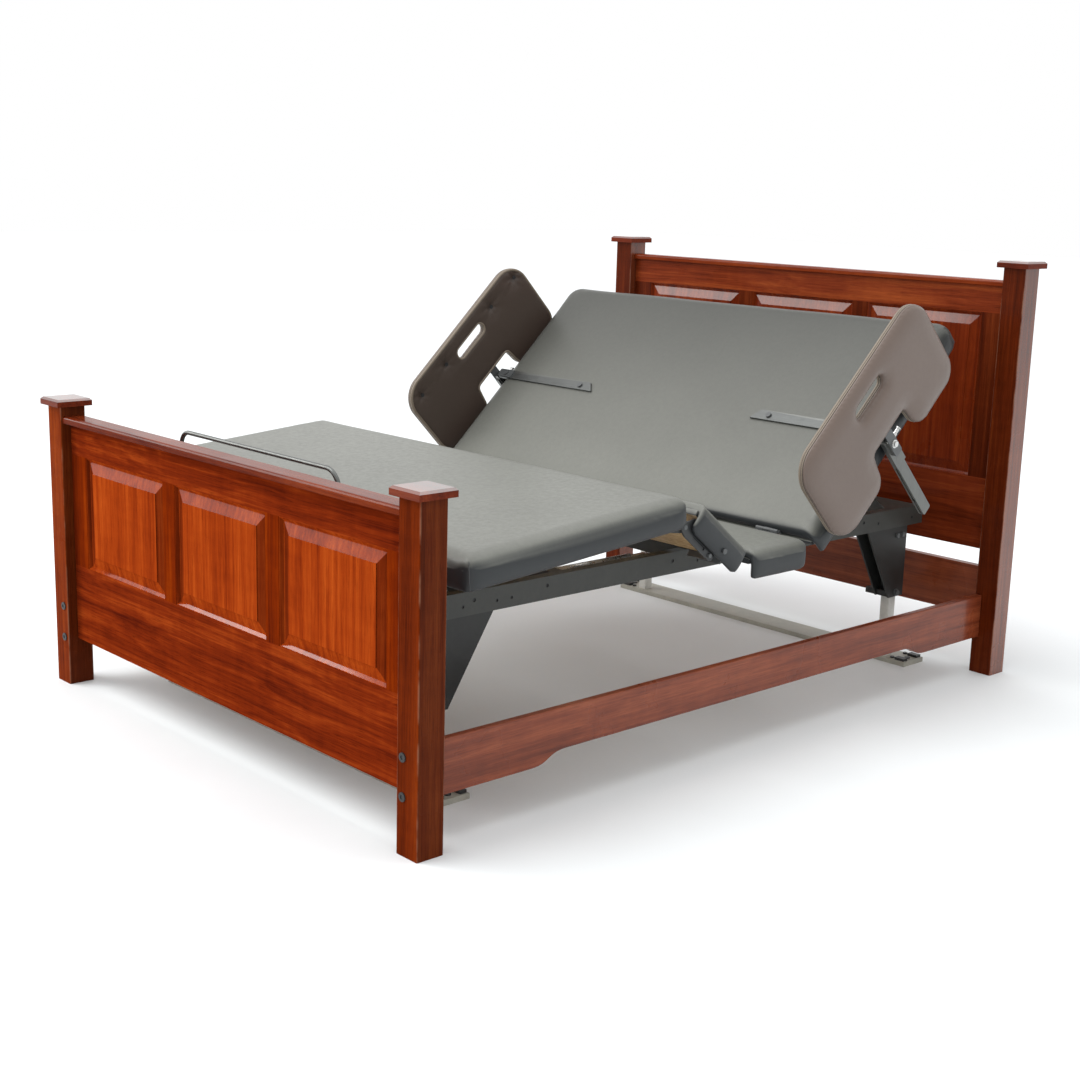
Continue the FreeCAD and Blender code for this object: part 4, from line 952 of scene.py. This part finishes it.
# seams: name, end of the section, corner radius, way along the bed to the section's middle, body, place
CORNER_SEAMS = (("foot_corner_seam_", 0.1815, 0.030, 1, "foot", FOOT_PLACE),
                ("back_corner_seam_", 2.2095, 0.055, -1, "back", BACK_PLACE))
for tag, side in (("right", 1), ("left", -1)):
    for name, y, r, way, body, place in CORNER_SEAMS:
        inward = r * (1 - math.cos(math.radians(45)))
        corner_x = side * (SEAM_X - inward)
        corner_y = y - SHIFT + way * inward
        line = [(corner_x - side * lean * 0.7, corner_y + way * lean * 0.7, z) for z, lean in SEAM_DROP]
        seam_line(name + tag, line, 0.0011, "seam", body, place)


# ------------------------------------------------------------------ stage, lights and camera
def make_floor():
    """Large pale floor that isn't part of the bed."""
    bm = bmesh.new()
    bmesh.ops.create_grid(bm, x_segments=2, y_segments=2, size=30.0)
    me = bpy.data.meshes.new("floor")
    bm.to_mesh(me)
    bm.free()
    o = link_object("floor", me)
    t = Tree("floor_pale")
    n = t.noise(t.mapping((1, 1, 1)), 3.0, 4.0)
    col = t.mix(t.span(n, 0.3, 0.7), (0.81, 0.838, 0.85), (0.83, 0.858, 0.87))
    o.data.materials.append(t.set(color=col, rough=0.75, spec=0.2))


def area(name, loc, target, size, power, colour=(1, 1, 1)):
    """Soft rectangular light at loc that looks at target. power is in watts."""
    d = bpy.data.lights.new(name, "AREA")
    d.shape = "RECTANGLE"
    d.size, d.size_y = size
    d.energy = power
    d.color = colour
    o = bpy.data.objects.new(name, d)
    bpy.context.scene.collection.objects.link(o)
    o.location = loc
    o.rotation_mode = "QUATERNION"
    o.rotation_quaternion = (Vector(target) - Vector(loc)).to_track_quat("-Z", "Y")


def sun(name, way, strength, angle):
    """Distant light that shines along way."""
    d = bpy.data.lights.new(name, "SUN")
    d.energy = strength
    d.angle = angle
    o = bpy.data.objects.new(name, d)
    bpy.context.scene.collection.objects.link(o)
    o.rotation_mode = "QUATERNION"
    o.rotation_quaternion = Vector(way).to_track_quat("-Z", "Y")


make_floor()
area("top_soft", (0.3, 0.4, 4.6), (0, 0, 0.4), (5.0, 5.0), 60)
area("key_left", (-4.6, -3.6, 3.0), (0, 0, 0.6), (3.2, 3.2), 120, (1.0, 0.985, 0.96))
sun("sun_soft", (0.42, 0.50, -0.95), 1.3, 0.7)

world = bpy.data.worlds.new("studio")
bpy.context.scene.world = world
world.use_nodes = True
background = world.node_tree.nodes["Background"]
background.inputs["Color"].default_value = (1.0, 1.0, 1.0, 1.0)
background.inputs["Strength"].default_value = 1.0
bpy.context.scene.view_settings.view_transform = "Standard"

LENS_MM = 54.36633
SENSOR_MM = 36.0
CAMERA_PLACE = (3.46864, -2.07336 - SHIFT, 1.47747)
CAMERA_TURN = (77.4127, -1.5283, 47.6683)
cam_data = bpy.data.cameras.new("camera")
cam = bpy.data.objects.new("camera", cam_data)
bpy.context.scene.collection.objects.link(cam)
cam_data.sensor_width = SENSOR_MM
cam_data.lens = LENS_MM
cam.location = CAMERA_PLACE
cam.rotation_euler = [math.radians(turn) for turn in CAMERA_TURN]
cam_data.clip_end = 100
bpy.context.scene.camera = cam
